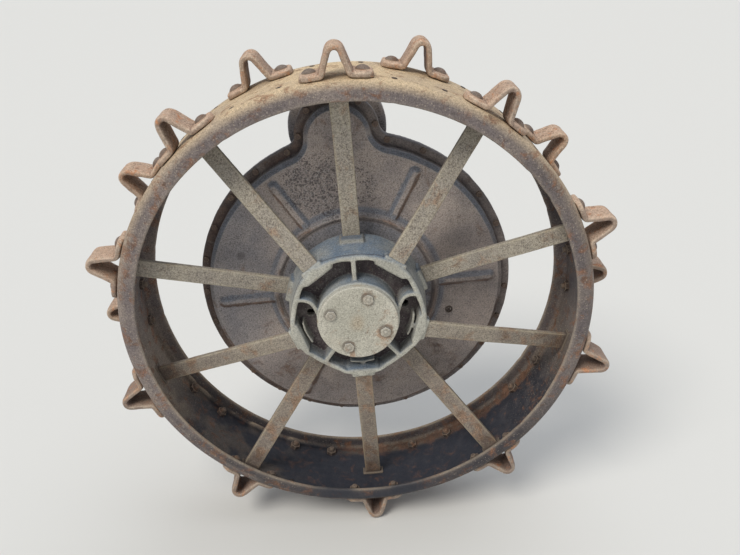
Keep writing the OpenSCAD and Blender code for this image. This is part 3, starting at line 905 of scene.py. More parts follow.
@dataclass
class Rim:
    """The rolled steel rim: a flat band with two lips that turn in toward the axle."""

    outer: float = 0.4826
    width: float = 0.193
    plate: float = 0.008
    lip: float = 0.037
    shoulder: float = 0.024
    steps: int = 480
    wave: float = 0.0007
    nick: float = 0.0011
    mud: Pair = (-168.0, -104.0)
    mud_high: float = 0.004
    mud_fade: float = 14.0
    puddle_ends: Pair = (-112.0, -62.0)
    spare_r: float = 0.0055
    spare_turn: float = 12.4
    spare_depths: Pair = (0.2225, 0.097)

    @property
    def floor(self) -> float:
        """Radius of the band's inside."""
        return self.outer - self.plate

    def profile(self) -> Array:
        """The closed half section: the plate's middle line moved half its thickness to each side.

        Returns:
            Points of (radius, depth).
        """
        half = self.plate / 2.0
        front, back = FRONT - half, FRONT - self.width + half
        end, top = self.outer - self.lip + half, self.outer - half
        bend = self.shoulder - half
        corners = [(end, front, 0.0), (top, front, bend), (top, back, bend), (end, back, 0.0)]
        middle = rounded_path(corners, 0.007, arc_steps=12)
        along = np.gradient(middle, axis=0)
        out = np.stack([-along[:, 1], along[:, 0]], -1) * half
        out /= np.linalg.norm(along, axis=1, keepdims=True)
        turns = np.linspace(0.0, math.pi, 9)[1:-1, None]
        caps = [p + np.cos(turns) * n + np.sin(turns) * np.array([[-half, 0.0]])
                for p, n in ((middle[-1], out[-1]), (middle[0], -out[0]))]
        return np.vstack([middle + out, caps[0], (middle - out)[::-1], caps[1]])

    def build(self) -> None:
        """The rim with its rolling marks, nicks and a crust of mud."""
        piece = gathered("wheel_rim", [revolve(self.profile(), self.steps)], wrap_rows=True)
        mesh = piece.data
        points = to_plan(coordinates(mesh))
        x, y, z = points.T
        angle, radius = np.degrees(np.arctan2(y, x)), radius_of(points)
        wave = self.wave * layered_noise(points / [1.0, 1.0, 4.0], 7.0, layers=2, seed=3) - 0.0004
        nick = self.nick * smooth(value_noise(points, 55.0, seed=5), 0.45, 0.8)
        scale = 1.0 + (wave + nick * fade(radius, 0.447, 0.452)) / radius
        moved = points * np.stack([scale, scale, np.ones_like(scale)], -1)
        inside = fade(radius, self.floor - 0.004, self.floor + 0.002)
        crust = self.crust(points, angle) * inside
        crust *= smooth(radius, self.floor - 0.010, self.floor - 0.004)
        moved[:, :2] *= (1.0 - self.mud_high * crust / radius)[:, None]
        move_points(mesh, to_row(moved))

        # body: the band and not the lips; foot: the wheel's lower part; deep: the band's very
        #         # inside between the lips, darkened as painted shade; dirt: painted shade with
        #         dirt round it,
        #         # at the foot and on the right; rear: a strip at the back, lighter and rusty,
        #         painted sunlight
        #         # with rust.
        rear_z = FRONT - self.width
        body, foot = fade(radius, 0.4740, 0.4800), fade(y, -0.40, -0.06)
        deep = fade(radius, 0.4752, 0.4785) * smooth(FRONT - 0.006 - z, 0.0, 0.01)
        deep *= smooth(z - (rear_z + 0.006), 0.0, 0.01) * (0.25 + 0.75 * foot)
        dirt_and_shade = 0.80 * body * (1.0 - deep) * foot**1.5 + 0.30 * smooth(x, 0.18, 0.40) * body
        rear = smooth(rear_z + 0.045 - z, 0.0, 0.02) * body * smooth(x, -0.12, 0.06)
        # Damp in the puddle, and painted shade in the band's inside at the foot.
        damp_and_shade = np.maximum(self.puddle(points, angle) * inside,
                          0.80 * deep * fade(y, -0.40, -0.18))
        damp_and_shade *= (1.0 - 0.55 * rear) * (1.0 - crust)
        dress(piece, RIM_RUST, Body.WHEEL, ["rim"], damp_and_shade=damp_and_shade,
              zone=np.clip((deep + dirt_and_shade) * (1.0 - 0.35 * rear) - 0.75 * crust, 0, 1),
              speck=upper_specks(mesh, 0.26, 0.38), rust_and_warm_light=0.6 * rear * deep)
        self.spare_holes()

    def spare_holes(self) -> None:
        """Bolt holes on both sides of each lug, as dark plugs that reach through the plate: painted
        shade in the holes.
        """
        grids = []
        plug = pin(self.spare_r, -0.0001, self.plate + 0.0002, 14)
        for depth, first in zip(self.spare_depths, (0.0, 0.5)):
            grid = place(plug, np.array([0.0, self.floor, depth]), AXIS_X, AXIS_Y)
            for k in range(10):
                for side in (-1.0, 1.0):
                    around = FIRST_SPOKE - 90.0 - ROW_STEP / 2.0 * (k + first)
                    around += side * self.spare_turn
                    grids.append(turn(grid, around))
        # The plugs are dark: painted shade in the holes.
        dress(gathered("rim_spare_holes", grids), BOLT_RUST, Body.WHEEL, [],
              spread=1, grime_and_shade=0.9)

    def crust(self, points: Array, angle: Array) -> Array:
        """Height of the dried mud on the band's inside, 0 to 1, between two angles."""
        low, high = self.mud
        reach = smooth(angle, low, low + self.mud_fade)
        reach *= fade(angle, high - self.mud_fade, high)
        return reach * smooth(layered_noise(points, 24.0, layers=3, seed=11), -0.35, 0.3)

    def puddle(self, points: Array, angle: Array) -> Array:
        """Where the band's inside is damp: by the front lip at the foot of the wheel."""
        low, high = self.puddle_ends
        near_lip = smooth(points[:, 2], FRONT - 0.085, FRONT - 0.03)
        reach = smooth(angle, low, low + 14.0) * fade(angle, high - 16.0, high)
        return reach * near_lip * smooth(value_noise(points, 18.0, seed=23), -0.6, 0.2)


@dataclass
class Lugs:
    """Two rows of strap lugs: each is a flat bar bent to a hoop with a foot on each side."""

    per_row: int = 10
    width: float = 0.064
    thick: float = 0.012
    height: float = 0.0635
    crown: float = 0.019
    length: float = 0.136
    foot: float = 0.042
    corner: float = 0.020
    edge: float = 0.011
    bolt_out: float = 0.047
    bolt: Pair = (0.0132, 0.0080)
    nut: Pair = (0.021, 0.009)
    bolt_end: Pair = (0.0062, 0.0165)
    nut_shift: float = 0.012
    drift: dict[int, Triple] = field(
        default_factory=lambda: {
            1: (0.0, -0.003, 0.0), 4: (0.0, 0.008, 1.0), 7: (0.4, 0.004, -1.0),
            19: (1.2, 0.0, 2.0), 12: (-0.5, -0.002, 1.5), 10: (0.3, 0.001, -2.0)})
    rim: Rim = field(default_factory=Rim)

    @property
    def bend(self) -> float:
        """Distance of each leg's foot from the lug's middle."""
        return self.length / 2.0 - self.foot

    def middle_line(self) -> Array:
        """The strap's middle line in side view, from one end of it to the other.

        The feet follow the rim, the legs are tangent to the crown's arc, and a running mean
        rounds the bends between foot and leg.

        Returns:
            Points (along the rim, outward from the axle) at even distances.
        """
        half = self.thick / 2.0
        ring, arc = self.rim.outer + half, self.crown - half
        foot = np.array([self.bend, math.sqrt(ring * ring - self.bend**2)])
        top = np.array([0.0, self.rim.outer + self.height - self.crown])
        leg = foot - top
        lean = math.atan2(leg[1], leg[0]) + math.acos(arc / float(np.linalg.norm(leg)))
        turns = np.linspace(lean, math.pi / 2.0, 20)[:, None]
        crown = top + arc * np.hstack([np.cos(turns), np.sin(turns)])
        reach = np.linspace(self.length / 2.0, self.bend, 30)
        sole = np.column_stack([reach, np.sqrt(ring * ring - reach**2)])
        right = np.vstack([sole, crown])
        line = np.vstack([right, (right * [-1.0, 1.0])[::-1][1:]])
        path = resample(line, 321)
        kernel = np.hanning(31)
        kernel /= kernel.sum()
        padded = np.vstack([2 * path[0] - path[15:0:-1], path, 2 * path[-1] - path[-2:-17:-1]])
        rounded = np.column_stack([np.convolve(padded[:, k], kernel, "valid") for k in range(2)])
        peak = self.rim.outer + self.height - half
        share = smooth(rounded[:, 1], self.rim.outer + 0.03, peak)
        rounded[:, 1] += (peak - rounded[:, 1].max()) * share
        return rounded[::3]

    def strap(self, seed: int) -> Array:
        """One lug on top of the rim, in plan about z = 0.

        The section is a flat oval: x = half width * c^0.32 and y = half thickness * s^0.62, where
        c and s are the cosine and sine of the angle round it with their signs kept. The width
        follows the rounded ends of the feet.
        """
        line = self.middle_line()
        along = np.gradient(line, axis=0)
        out = np.stack([-along[:, 1], along[:, 0]], -1)
        out /= np.linalg.norm(along, axis=1, keepdims=True)
        run = arc_length(line)
        from_end = np.minimum(run, run[-1] - run)
        short = np.clip(1.0 - from_end / self.corner, 0.0, 1.0)
        half_width = self.width / 2.0 - self.corner * (1.0 - np.sqrt(1.0 - short**2))
        nose = np.clip(1.0 - from_end / 0.005, 0.0, 1.0)
        half_thick = self.thick / 2.0 * np.sqrt(1.0 - 0.96 * nose**2)
        angle = np.linspace(0.0, 2.0 * math.pi, 40, endpoint=False)
        c, s = np.cos(angle), np.sin(angle)
        across = np.sign(c) * np.abs(c) ** 0.32
        lift = -np.sign(s) * np.abs(s) ** 0.62
        flat = line[:, None, :] + out[:, None, :] * (half_thick[:, None] * lift)[..., None]
        flat[..., 1] -= (self.thick / 2.0 - half_thick)[:, None] * 0.9
        depth = half_width[:, None] * across
        grid = np.dstack([flat, depth])
        wobble = np.dstack([grid[..., 0] + seed, grid[..., 1], grid[..., 2]])
        standing = smooth(grid[..., 1], self.rim.outer + 0.012, self.rim.outer + 0.04)
        grid[..., 0] += 0.0016 * value_noise(wobble, 22.0, seed=seed) * standing
        grid[..., 1] -= 0.0010 * np.abs(value_noise(wobble, 30.0, seed=seed + 1)) * standing
        return capped(grid)

    def hardware(self, inboard: float) -> list[Array]:
        """Bolt heads on the feet and nuts with bolt ends under the rim, about z = 0.

        Args:
            inboard: how far the nuts lie from the lug's middle, outboard positive.
        """
        grids = []
        for side in (-1.0, 1.0):
            tilt = side * self.bolt_out / self.rim.outer
            up = np.array([math.sin(tilt), math.cos(tilt), 0.0])
            right = np.array([math.cos(tilt), -math.sin(tilt), 0.0])
            head = up * (self.rim.outer + self.thick - 0.001)
            grids.append(place(dome_head(*self.bolt), head, right, up))
            inside = up * (self.rim.floor + 0.0005) + [0.0, 0.0, inboard]
            for grid in (hex_head(*self.nut), stud(*self.bolt_end)):
                grids.append(place(grid, inside, right, -up))
        return grids

    def place_lug(self, number: int) -> tuple[float, float, bool]:
        """Angle from the top, depth of the middle and whether the lug is in the front row."""
        front = number <= self.per_row
        step = 360.0 / self.per_row
        around = (number - 1) * step if front else (number - self.per_row - 0.5) * step
        middle = FRONT - self.edge - self.width / 2.0
        if not front:
            middle = FRONT - self.rim.width + self.edge + self.width / 2.0
        return FIRST_SPOKE - 90.0 - around, middle, front

    def build(self) -> None:
        """All lugs, each a little different, and their bolts and nuts."""
        for number in range(1, 2 * self.per_row + 1):
            angle, depth, front = self.place_lug(number)
            strap = self.strap(number)
            around, out, lean = self.drift.get(number, (0.0, 0.0, 0.0))
            rise = smooth(strap[..., 1], self.rim.outer + self.thick, self.rim.outer + self.height)
            strap[..., 1] += out * rise
            strap[..., 2] += depth + math.tan(math.radians(lean)) * 0.06 * rise
            piece = gathered(f"lug_strap_{number}", [turn(strap, angle + around)])
            roughen(piece.data, height=0.00035, per_metre=90.0, layers=3, seed=40 + number)
            # The lower lugs are darker: painted shade with dirt.
            dress(piece, LUG_RUST, Body.WHEEL, [f"lug_{number}"], spread=3,
                  zone=0.7 * fade(coordinates(piece.data)[:, 2], -0.6, -0.1),
                  speck=upper_specks(piece.data, 0.2, 0.5))
            grids = self.hardware(self.nut_shift if front else -self.nut_shift)
            grids = [turn(grid + [0.0, 0.0, depth], angle + around) for grid in grids]
            hardware = gathered(f"lug_bolts_{number}", grids)
            # Nuts and bolt ends inside the rim are darker: painted shade.
            within = radius_of(to_plan(coordinates(hardware.data))) < self.rim.floor + 0.001
            dress(hardware, BOLT_RUST, Body.WHEEL, [], spread=1,
                  zone=0.8 * within)


class Row(Enum):
    """The two rows of spokes, by where their roots sit."""

    FRONT = "front"
    REAR = "rear"


@dataclass
class Spokes:
    """Ten flat bars in two rows that cross between hub and rim."""

    width: float = 0.036
    thick: float = 0.011
    roots: dict[Row, Pair] = field(
        default_factory=lambda: {Row.FRONT: (0.147, 0.027), Row.REAR: (0.151, 0.097)})
    tips: dict[Row, float] = field(default_factory=lambda: {Row.FRONT: 0.095, Row.REAR: 0.042})
    foot: Triple = (0.048, 0.022, 0.004)
    edge: float = 0.0022
    bent: Pair = (0.0010, 0.0009)
    rim: Rim = field(default_factory=Rim)

    @staticmethod
    def row(number: int) -> Row:
        """Odd spokes have their roots in the rear row."""
        return Row.FRONT if number % 2 == 0 else Row.REAR

    @staticmethod
    def angle(number: int) -> float:
        """The spoke's angle seen from outboard."""
        return FIRST_SPOKE - (number - 1) * 360.0 / SPOKE_COUNT

    def bar(self, number: int) -> Array:
        """One bar along +x: a rounded rectangle carried from the hub to the rim.

        The middle line runs straight from root to tip, and noise bends it by a millimetre.
        """
        row = self.row(number)
        root_r, root_depth = self.roots[row]
        start = np.array([root_r - 0.003, FRONT - root_depth])
        end = np.array([self.rim.floor + 0.0015, FRONT - self.tips[row]])
        slope = (end - start) / np.linalg.norm(end - start)
        share = np.linspace(0.0, 1.0, 110)[:, None]
        line = start + (end - start) * share
        corners = [(x * self.width / 2.0, z * self.thick / 2.0, self.edge)
                   for x, z in ((1, 1), (-1, 1), (-1, -1), (1, -1))]
        section = rounded_path(corners, 0.004, closed=True, arc_steps=4)
        side, lift = section[:, 0], section[:, 1]
        grid = np.empty((len(line), len(section), 3))
        grid[..., 0] = line[:, :1] - slope[1] * lift
        grid[..., 1] = side
        grid[..., 2] = line[:, 1:] + slope[0] * lift
        free = np.sin(np.pi * share[:, 0]) ** 0.5
        probe = np.column_stack([line[:, 0], np.full(len(line), 0.37 * number), line[:, 1]])
        grid[..., 1] += (self.bent[0] * value_noise(probe, 8.0, seed=5) * free)[:, None]
        grid[..., 2] += (self.bent[1] * value_noise(probe, 6.0, seed=6) * free)[:, None]
        return capped(grid)

    def pad(self, number: int) -> Array:
        """The small foot where the bar meets the rim, curved with the rim's inside."""
        length, across, thick = self.foot
        grid = rounded_box((length / 2.0, across / 2.0, thick / 2.0 + 0.001), 0.0019)
        around = grid[..., 0] / self.rim.floor
        radius = self.rim.floor - thick / 2.0 + 0.001 - grid[..., 2]
        depth = FRONT - self.tips[self.row(number)] + grid[..., 1]
        return np.stack([radius * np.cos(around), radius * np.sin(around), depth], -1)

    def build(self) -> None:
        """All ten spokes with their feet."""
        for number in range(1, SPOKE_COUNT + 1):
            grids = [turn(part, self.angle(number))
                     for part in (self.bar(number), self.pad(number))]
            piece = gathered(f"spoke_bar_{number}", grids)
            roughen(piece.data, height=0.00018, per_metre=120.0, layers=2, seed=60 + number)
            points = to_plan(coordinates(piece.data))
            radius, low = radius_of(points), fade(points[:, 1], -0.22, 0.10)
            # Darker lower down and toward the rim: painted shade; the feet against the rim darker
            # still, painted shade; more rust on the lower spokes.
            dress(piece, SPOKE_PAINT, Body.WHEEL, [f"spoke_{number}"],
                  zone=np.clip(0.10 + 0.4 * smooth(radius, 0.40, 0.47) + 0.60 * low, 0.0, 1.0),
                  speck=upper_specks(piece.data, 0.34, 0.52), rust_and_warm_light=0.30 * low,
                  grime_and_shade=smooth(radius, 0.4625, 0.4690) * (0.25 + 0.55 * smooth(low, 0.0, 0.6)))


@dataclass
class Hub:
    """The cast hub: a drum that widens to the back, with pockets, ribs and lobes in its front."""

    front_r: float = 0.140
    back_r: float = 0.147
    front: float = 0.016
    back: float = 0.114
    pocket: float = 0.040
    web: float = 0.016
    barrel: float = 0.082
    bead: float = 0.0845
    barrel_front: float = 0.005
    lobes: dict[int, Pair] = field(
        default_factory=lambda: {
            2: (0.1215, 0.1155), 10: (0.1215, 0.1155), 4: (0.1235, 0.1225),
            8: (0.1235, 0.1225), 6: (0.1275, 0.1230)})
    recess: float = 0.1260
    swell: float = 0.0028
    set_back: float = 0.0045
    bore: float = 0.036
    web_ends: Pair = (0.050, 0.132)
    lip_r: float = 0.1145
    lip_thick: float = 0.0040
    rib: float = 0.0085
    rib_ends: Pair = (0.078, 0.130)
    curved_rib: float = 0.0075
    collars: dict[Row, Pair] = field(
        default_factory=lambda: {Row.FRONT: (0.223, 0.243), Row.REAR: (0.153, 0.192)})
    collar_wide: float = 0.049
    block_deep: float = 0.018
    pullers: tuple[Pair, ...] = ((-0.098, -0.006), (0.098, 0.0095))
    puller_r: float = 0.0085
    puller_deep: float = 0.05
    straight_ribs: tuple[float, ...] = (93.4, -48.5, -123.5)
    curved_ribs: tuple[tuple[Pair, ...], ...] = (
        ((-0.126, 0.0385), (-0.117, 0.0405), (-0.107, 0.0400), (-0.0955, 0.0350),
         (-0.0875, 0.0240), (-0.0825, 0.0100), (-0.080, -0.002)),
        ((0.126, 0.0450), (0.115, 0.0485), (0.103, 0.0470), (0.0935, 0.0410),
         (0.0875, 0.0300), (0.0835, 0.0150), (0.081, 0.002)))
    voxel: float = 0.0022

    @property
    def face(self) -> float:
        """Depth of the hub's front face at the lobes."""
        return FRONT - self.front

    @property
    def floor(self) -> float:
        """Depth from which walls and ribs start, just inside the web."""
        return self.face - self.pocket - 0.004

    @staticmethod
    def off(angle: Array, number: int) -> Array:
        """Angles as counted from the nearest of the five spokes in a spoke's row."""
        half = ROW_STEP / 2.0
        return (angle - Spokes.angle(number) + half) % ROW_STEP - half

    def ring(self) -> Array:
        """The drum's wall: outside a cone with a slight five-fold swell, inside the recesses.

        Formula: the outer radius grows by swell * cos(5 a) at angle a from a lobe, the inner
        radius is recess / cos(0.8 b) at angle b from an odd spoke, and the face lies set_back
        further in between the lobes.
        """
        angle = np.linspace(0.0, 360.0, 720, endpoint=False)
        off_lobe, off_recess = self.off(angle, 2), np.radians(self.off(angle, 1))
        swell = self.swell * np.cos(5.0 * np.radians(off_lobe))
        face = self.face - self.set_back * smooth(np.abs(off_lobe), 16.0, 23.0)
        inner = self.recess / np.cos(0.8 * off_recess)
        back = np.full(len(angle), FRONT - self.back)
        outer = self.front_r + swell - 0.0005
        loop = [(np.full(len(angle), self.back_r), back), (outer + 0.0008, face - 0.006),
                (outer - 0.001, face - 0.0012), (outer - 0.0032, face), (inner + 0.001, face),
                (inner, face - 0.001), (inner, back)]
        a = np.radians(angle)
        return np.stack([np.column_stack([r * np.cos(a), r * np.sin(a), z]) for r, z in loop])

    def lobe(self, number: int) -> Array:
        """The thick part of the wall at an even spoke, whose inner face leans inward with depth."""
        front, back = self.lobes[number]
        rows = []
        for chord, depth in ((front, self.face), (back, self.face - 0.012), (back, self.floor)):
            outline = np.array([
                [0.134, -0.041], [chord + 0.0045, -0.0375], [chord, -0.0315],
                [chord - 0.0008, 0.0], [chord, 0.0315], [chord + 0.0045, 0.0375],
                [0.134, 0.041], [0.1375, 0.0]])
            rows.append(level(outline, depth))
        return turn(capped(np.stack(rows)), Spokes.angle(number))

    def lip(self, number: int) -> Array:
        """A low curved lip inside a lobe, a groove away from it."""
        angle = np.radians(np.linspace(-13.0, 13.0, 25))
        path = self.lip_r * unit(angle) + [0.0010, 0.0]
        lip = wall(path, self.lip_thick, self.floor, self.face - 0.013)
        return turn(lip, Spokes.angle(number))

    def ribs(self) -> list[Array]:
        """Three straight ribs and, at the sides, two that curve round the puller holes."""
        high = self.face - 0.0035
        straight = level(np.linspace(*self.rib_ends, 8), 0.0)
        rib = wall(straight, self.rib, self.floor, high)
        grids = [turn(rib, degrees) for degrees in self.straight_ribs]
        for knots in self.curved_ribs:
            path = resample(np.array(knots), 30)
            for _ in range(4):
                path[1:-1] = (path[:-2] + 2.0 * path[1:-1] + path[2:]) / 4.0
            grids.append(wall(path, self.curved_rib, self.floor, high))
        return grids

    def block(self, number: int) -> Array:
        """The block that a spoke's root sits in, along +x before it is turned."""
        row = Spokes.row(number)
        root_r, _ = Spokes().roots[row]
        low, high = self.collars[row]
        half = self.block_deep / 2.0
        grid = rounded_box((half, self.collar_wide / 2.0, (high - low) / 2.0), 0.0030)
        return turn(grid + [root_r - half, 0.0, (low + high) / 2.0], Spokes.angle(number))

    def build(self) -> None:
        """Fuses the solids into one casting and cuts the puller holes."""
        back = FRONT - self.back
        web_front = self.face - self.pocket
        barrel_front = FRONT - self.barrel_front
        web_back = web_front - self.web
        near, far = self.web_ends
        web = np.array([[near, web_back], [far, web_back], [far, web_front], [near, web_front]])
        barrel = rounded_path(
            [(self.bore, back, 0.0), (self.barrel, back, 0.0),
             (self.barrel, barrel_front - 0.013, 0.003), (self.bead, barrel_front - 0.009, 0.002),
             (self.bead, barrel_front, 0.002), (self.bore, barrel_front, 0.0)],
            0.006, closed=True)
        grids = [(self.ring(), True), (revolve(web, 180), True), (revolve(barrel, 240), True)]
        grids += [(self.lobe(k), False) for k in self.lobes]
        grids += [(self.lip(k), False) for k in (4, 6, 8)]
        grids += [(grid, False) for grid in self.ribs()]
        grids += [(self.block(k), False) for k in range(1, 11)]
        parts = []
        for grid, wrap in grids:
            shell = Shell()
            shell.solid(to_row(grid), wrap_rows=wrap)
            parts.append(shell.mesh("hub_part"))
        mesh = remeshed(parts, "hub_casting", self.voxel, 3)
        holes = Shell()
        for x, y in self.pullers:
            drill = pin(self.puller_r, 0.0, self.puller_deep, 28)
            holes.solid(to_row(drill + [x, y, web_front - 0.030]))
        mesh = cut(mesh, holes)
        roughen(mesh, height=0.00045, per_metre=70.0, layers=3, seed=31)
        self.finish(new_object("hub_casting", mesh))

    def finish(self, piece: Object) -> None:
        """Painted shade on the pocket floors, tan darkened seats, and a painted shadow line behind
        the ring's face.
        """
        mesh = piece.data
        points, out = to_plan(coordinates(mesh)), normals(mesh)
        radius = radius_of(points)
        # The pocket floors darken with depth: painted shade.
        deep = smooth(self.face - 0.004 - points[:, 2], 0.0, 0.024)
        within = smooth(radius, self.barrel - 0.002, self.barrel + 0.004)
        within *= fade(radius, 0.128, 0.134)
        floor = fade(out[:, 1], -0.9, -0.5)
        zone = within * np.clip(0.55 * deep + 0.6 * floor * deep, 0.0, 1.0)
        seats = np.zeros(len(points))
        for number in range(1, SPOKE_COUNT + 1, 2):
            flat = turn(points, -Spokes.angle(number))
            seat = smooth(flat[:, 0], 0.1455, 0.1485) * band(flat[:, 1], 0.0, 0.030, 0.024)
            seats = np.maximum(seats, seat)
        # A painted shadow line on the drum behind the ring's face.
        line = band(points[:, 2], self.face - 0.0105, 0.0035, 0.001)
        line *= smooth(radius, 0.134, 0.137) * (1.0 - seats)
        dress(piece, HUB_IRON, Body.WHEEL, ["hub"], zone=np.maximum(zone, 0.02),
              speck=upper_specks(mesh, 0.3, 0.42), rust_and_warm_light=0.15 * seats,
              grime_and_shade=np.maximum(0.5 * line, 0.34 * seats))


@dataclass
class HubCap:
    """The round cover on the hub's barrel and its four bolts."""

    radius: float = 0.0815
    thick: float = 0.012
    bolt_ring: float = 0.0585
    bolt_phase: float = 69.5
    across: float = 0.0196
    head: float = 0.0052
    washer: float = 0.0012
    bolt_end: Pair = (0.0056, 0.0010)
    seat: float = 0.005

    def bolt_places(self) -> Array:
        """Plan places of the four bolts."""
        angle = np.radians(self.bolt_phase + 90.0 * np.arange(4))
        return self.bolt_ring * unit(angle)

    def build(self) -> None:
        """The turned cover and its bolts."""
        low = FRONT - self.seat
        high = low + self.thick
        profile = rounded_path(
            [(0.0, low, 0.0), (self.radius, low, 0.0008), (self.radius, high, 0.0026),
             (0.045, high + 0.0002, 0.0), (0.0, high, 0.0)], 0.0016, arc_steps=7)
        piece = gathered("hub_cover", [revolve(profile, 280)])
        roughen(piece.data, height=0.00035, per_metre=60.0, layers=3, seed=91)
        points = to_plan(coordinates(piece.data))
        x, y, z = points.T
        front = smooth(z, high - 0.003, high - 0.001)
        # A painted shadow round each bolt, darkest at its upper left, and rust, more at the right
        # bolts.
        outline, rust_and_warm_light = np.zeros(len(points)), np.zeros(len(points))
        for px, py in self.bolt_places():
            off = np.hypot(x - px, y - py)
            side = (0.55 + 0.45 * ((y - py) - (x - px)) / (1.42 * off + 1e-6)).clip(0.1, 1.0)
            outline = np.maximum(outline, band(off, 0.0125, 0.0045, 0.001) * side)
            rust_and_warm_light = np.maximum(rust_and_warm_light, fade(off, 0.012, 0.026) * (0.15 + 0.30 * (px > 0.0)))
        # A rust streak that runs down from the lowest bolt, and rust over the lower right.
        foot_x, foot_y = self.bolt_places()[2]
        streak = band(x - foot_x, 0.006, 0.007, 0.002) * fade(y, foot_y, -0.040)
        streak *= y > -0.079
        lower = 0.32 * smooth(x - 0.7 * y, 0.01, 0.06)
        rust_and_warm_light = np.clip(rust_and_warm_light + 0.9 * streak + lower, 0.0, 1.0) * front
        stain = smooth(value_noise(points, 24.0, seed=93), 0.1, 0.7)
        edge_dirt = band(z, low, 0.002, 0.0005)
        dress(piece, CAP_IRON, Body.WHEEL, ["hub_cap"], zone=0.7 * stain,
              speck=0.45, rust_and_warm_light=rust_and_warm_light,
              grime_and_shade=np.clip(0.75 * outline * front + 0.6 * edge_dirt, 0.0, 1.0))
        grids = []
        for k, (px, py) in enumerate(self.bolt_places()):
            head = turn(hex_head(self.across, self.head, self.washer), 17.0 * k + 9.0)
            grids += [head + [px, py, high - SINK],
                      stud(*self.bolt_end) + [px, py, high + 0.0047]]
        heads = gathered("hub_cover_bolts", grids)
        # The sides of the bolt heads are darker than their tops: painted shade.
        side = fade(to_plan(coordinates(heads.data))[:, 2], high + 0.002, high + 0.0042)
        dress(heads, CAP_BOLT, Body.WHEEL, ["cap_bolts"], spread=1, grime_and_shade=0.4 * side)


# ---------------------------------------------------------------- case


@dataclass
class Outline:
    """The case's outline: a circle round the axle, an arched top, and a fillet on each side."""

    round_r: float = 0.321
    arch_r: float = 0.068
    fillet_r: float = 0.045
    top: Pair = (-AXLE_X, AXLE_DROP)

    def arcs(self) -> list[tuple[Array, float, float, float, float]]:
        """The four arcs anticlockwise: centre, radius, first angle, last angle, side.

        Side is 1 where the case lies inside the arc and -1 at the fillets. A fillet's centre is
        round_r + fillet_r from the axle and arch_r + fillet_r from the arch's centre.
        """
        top = np.array(self.top)
        far = float(np.linalg.norm(top))
        near, reach = self.round_r + self.fillet_r, self.arch_r + self.fillet_r
        along = (near**2 - reach**2 + far**2) / (2.0 * far)
        aside = math.sqrt(near**2 - along**2)
        up = top / far
        right = up * along + aside * np.array([up[1], -up[0]])
        left = up * along - aside * np.array([up[1], -up[0]])

        def angle(v: Array) -> float:
            """Direction of a vector in radians."""
            return math.atan2(v[1], v[0])

        tau = 2.0 * math.pi
        arcs = [(np.zeros(2), self.round_r, angle(left), angle(right) + tau, 1.0)]
        for middle, first, last in ((right, -right, top - right), (left, top - left, -left)):
            begin = angle(first)
            arcs.append((middle, self.fillet_r, begin, begin - (begin - angle(last)) % tau, -1.0))
        arcs.insert(2, (top, self.arch_r, angle(right - top), angle(left - top) % tau, 1.0))
        return arcs

    def sample(self, count: int) -> tuple[Array, Array, Array]:
        """Even samples of the outline.

        Returns:
            Arc centres, outward directions and radii with their side's sign: the outline moved
            out by d is centre + direction * (radius + d) with both signs kept.
        """
        arcs = self.arcs()
        lengths = np.array([abs(b - a) * r for _, r, a, b, _ in arcs])
        shares = np.maximum(6, np.round(count * lengths / lengths.sum()).astype(int))
        centres, directions, radii = [], [], []
        for (centre, radius, first, last, side), number in zip(arcs, shares):
            angle = first + (last - first) * (np.arange(number) + 0.5) / number
            toward = unit(angle)
            centres.append(np.broadcast_to(centre, toward.shape))
            directions.append(toward * side)
            radii.append(np.full(number, radius * side))
        return np.vstack(centres), np.vstack(directions), np.concatenate(radii)


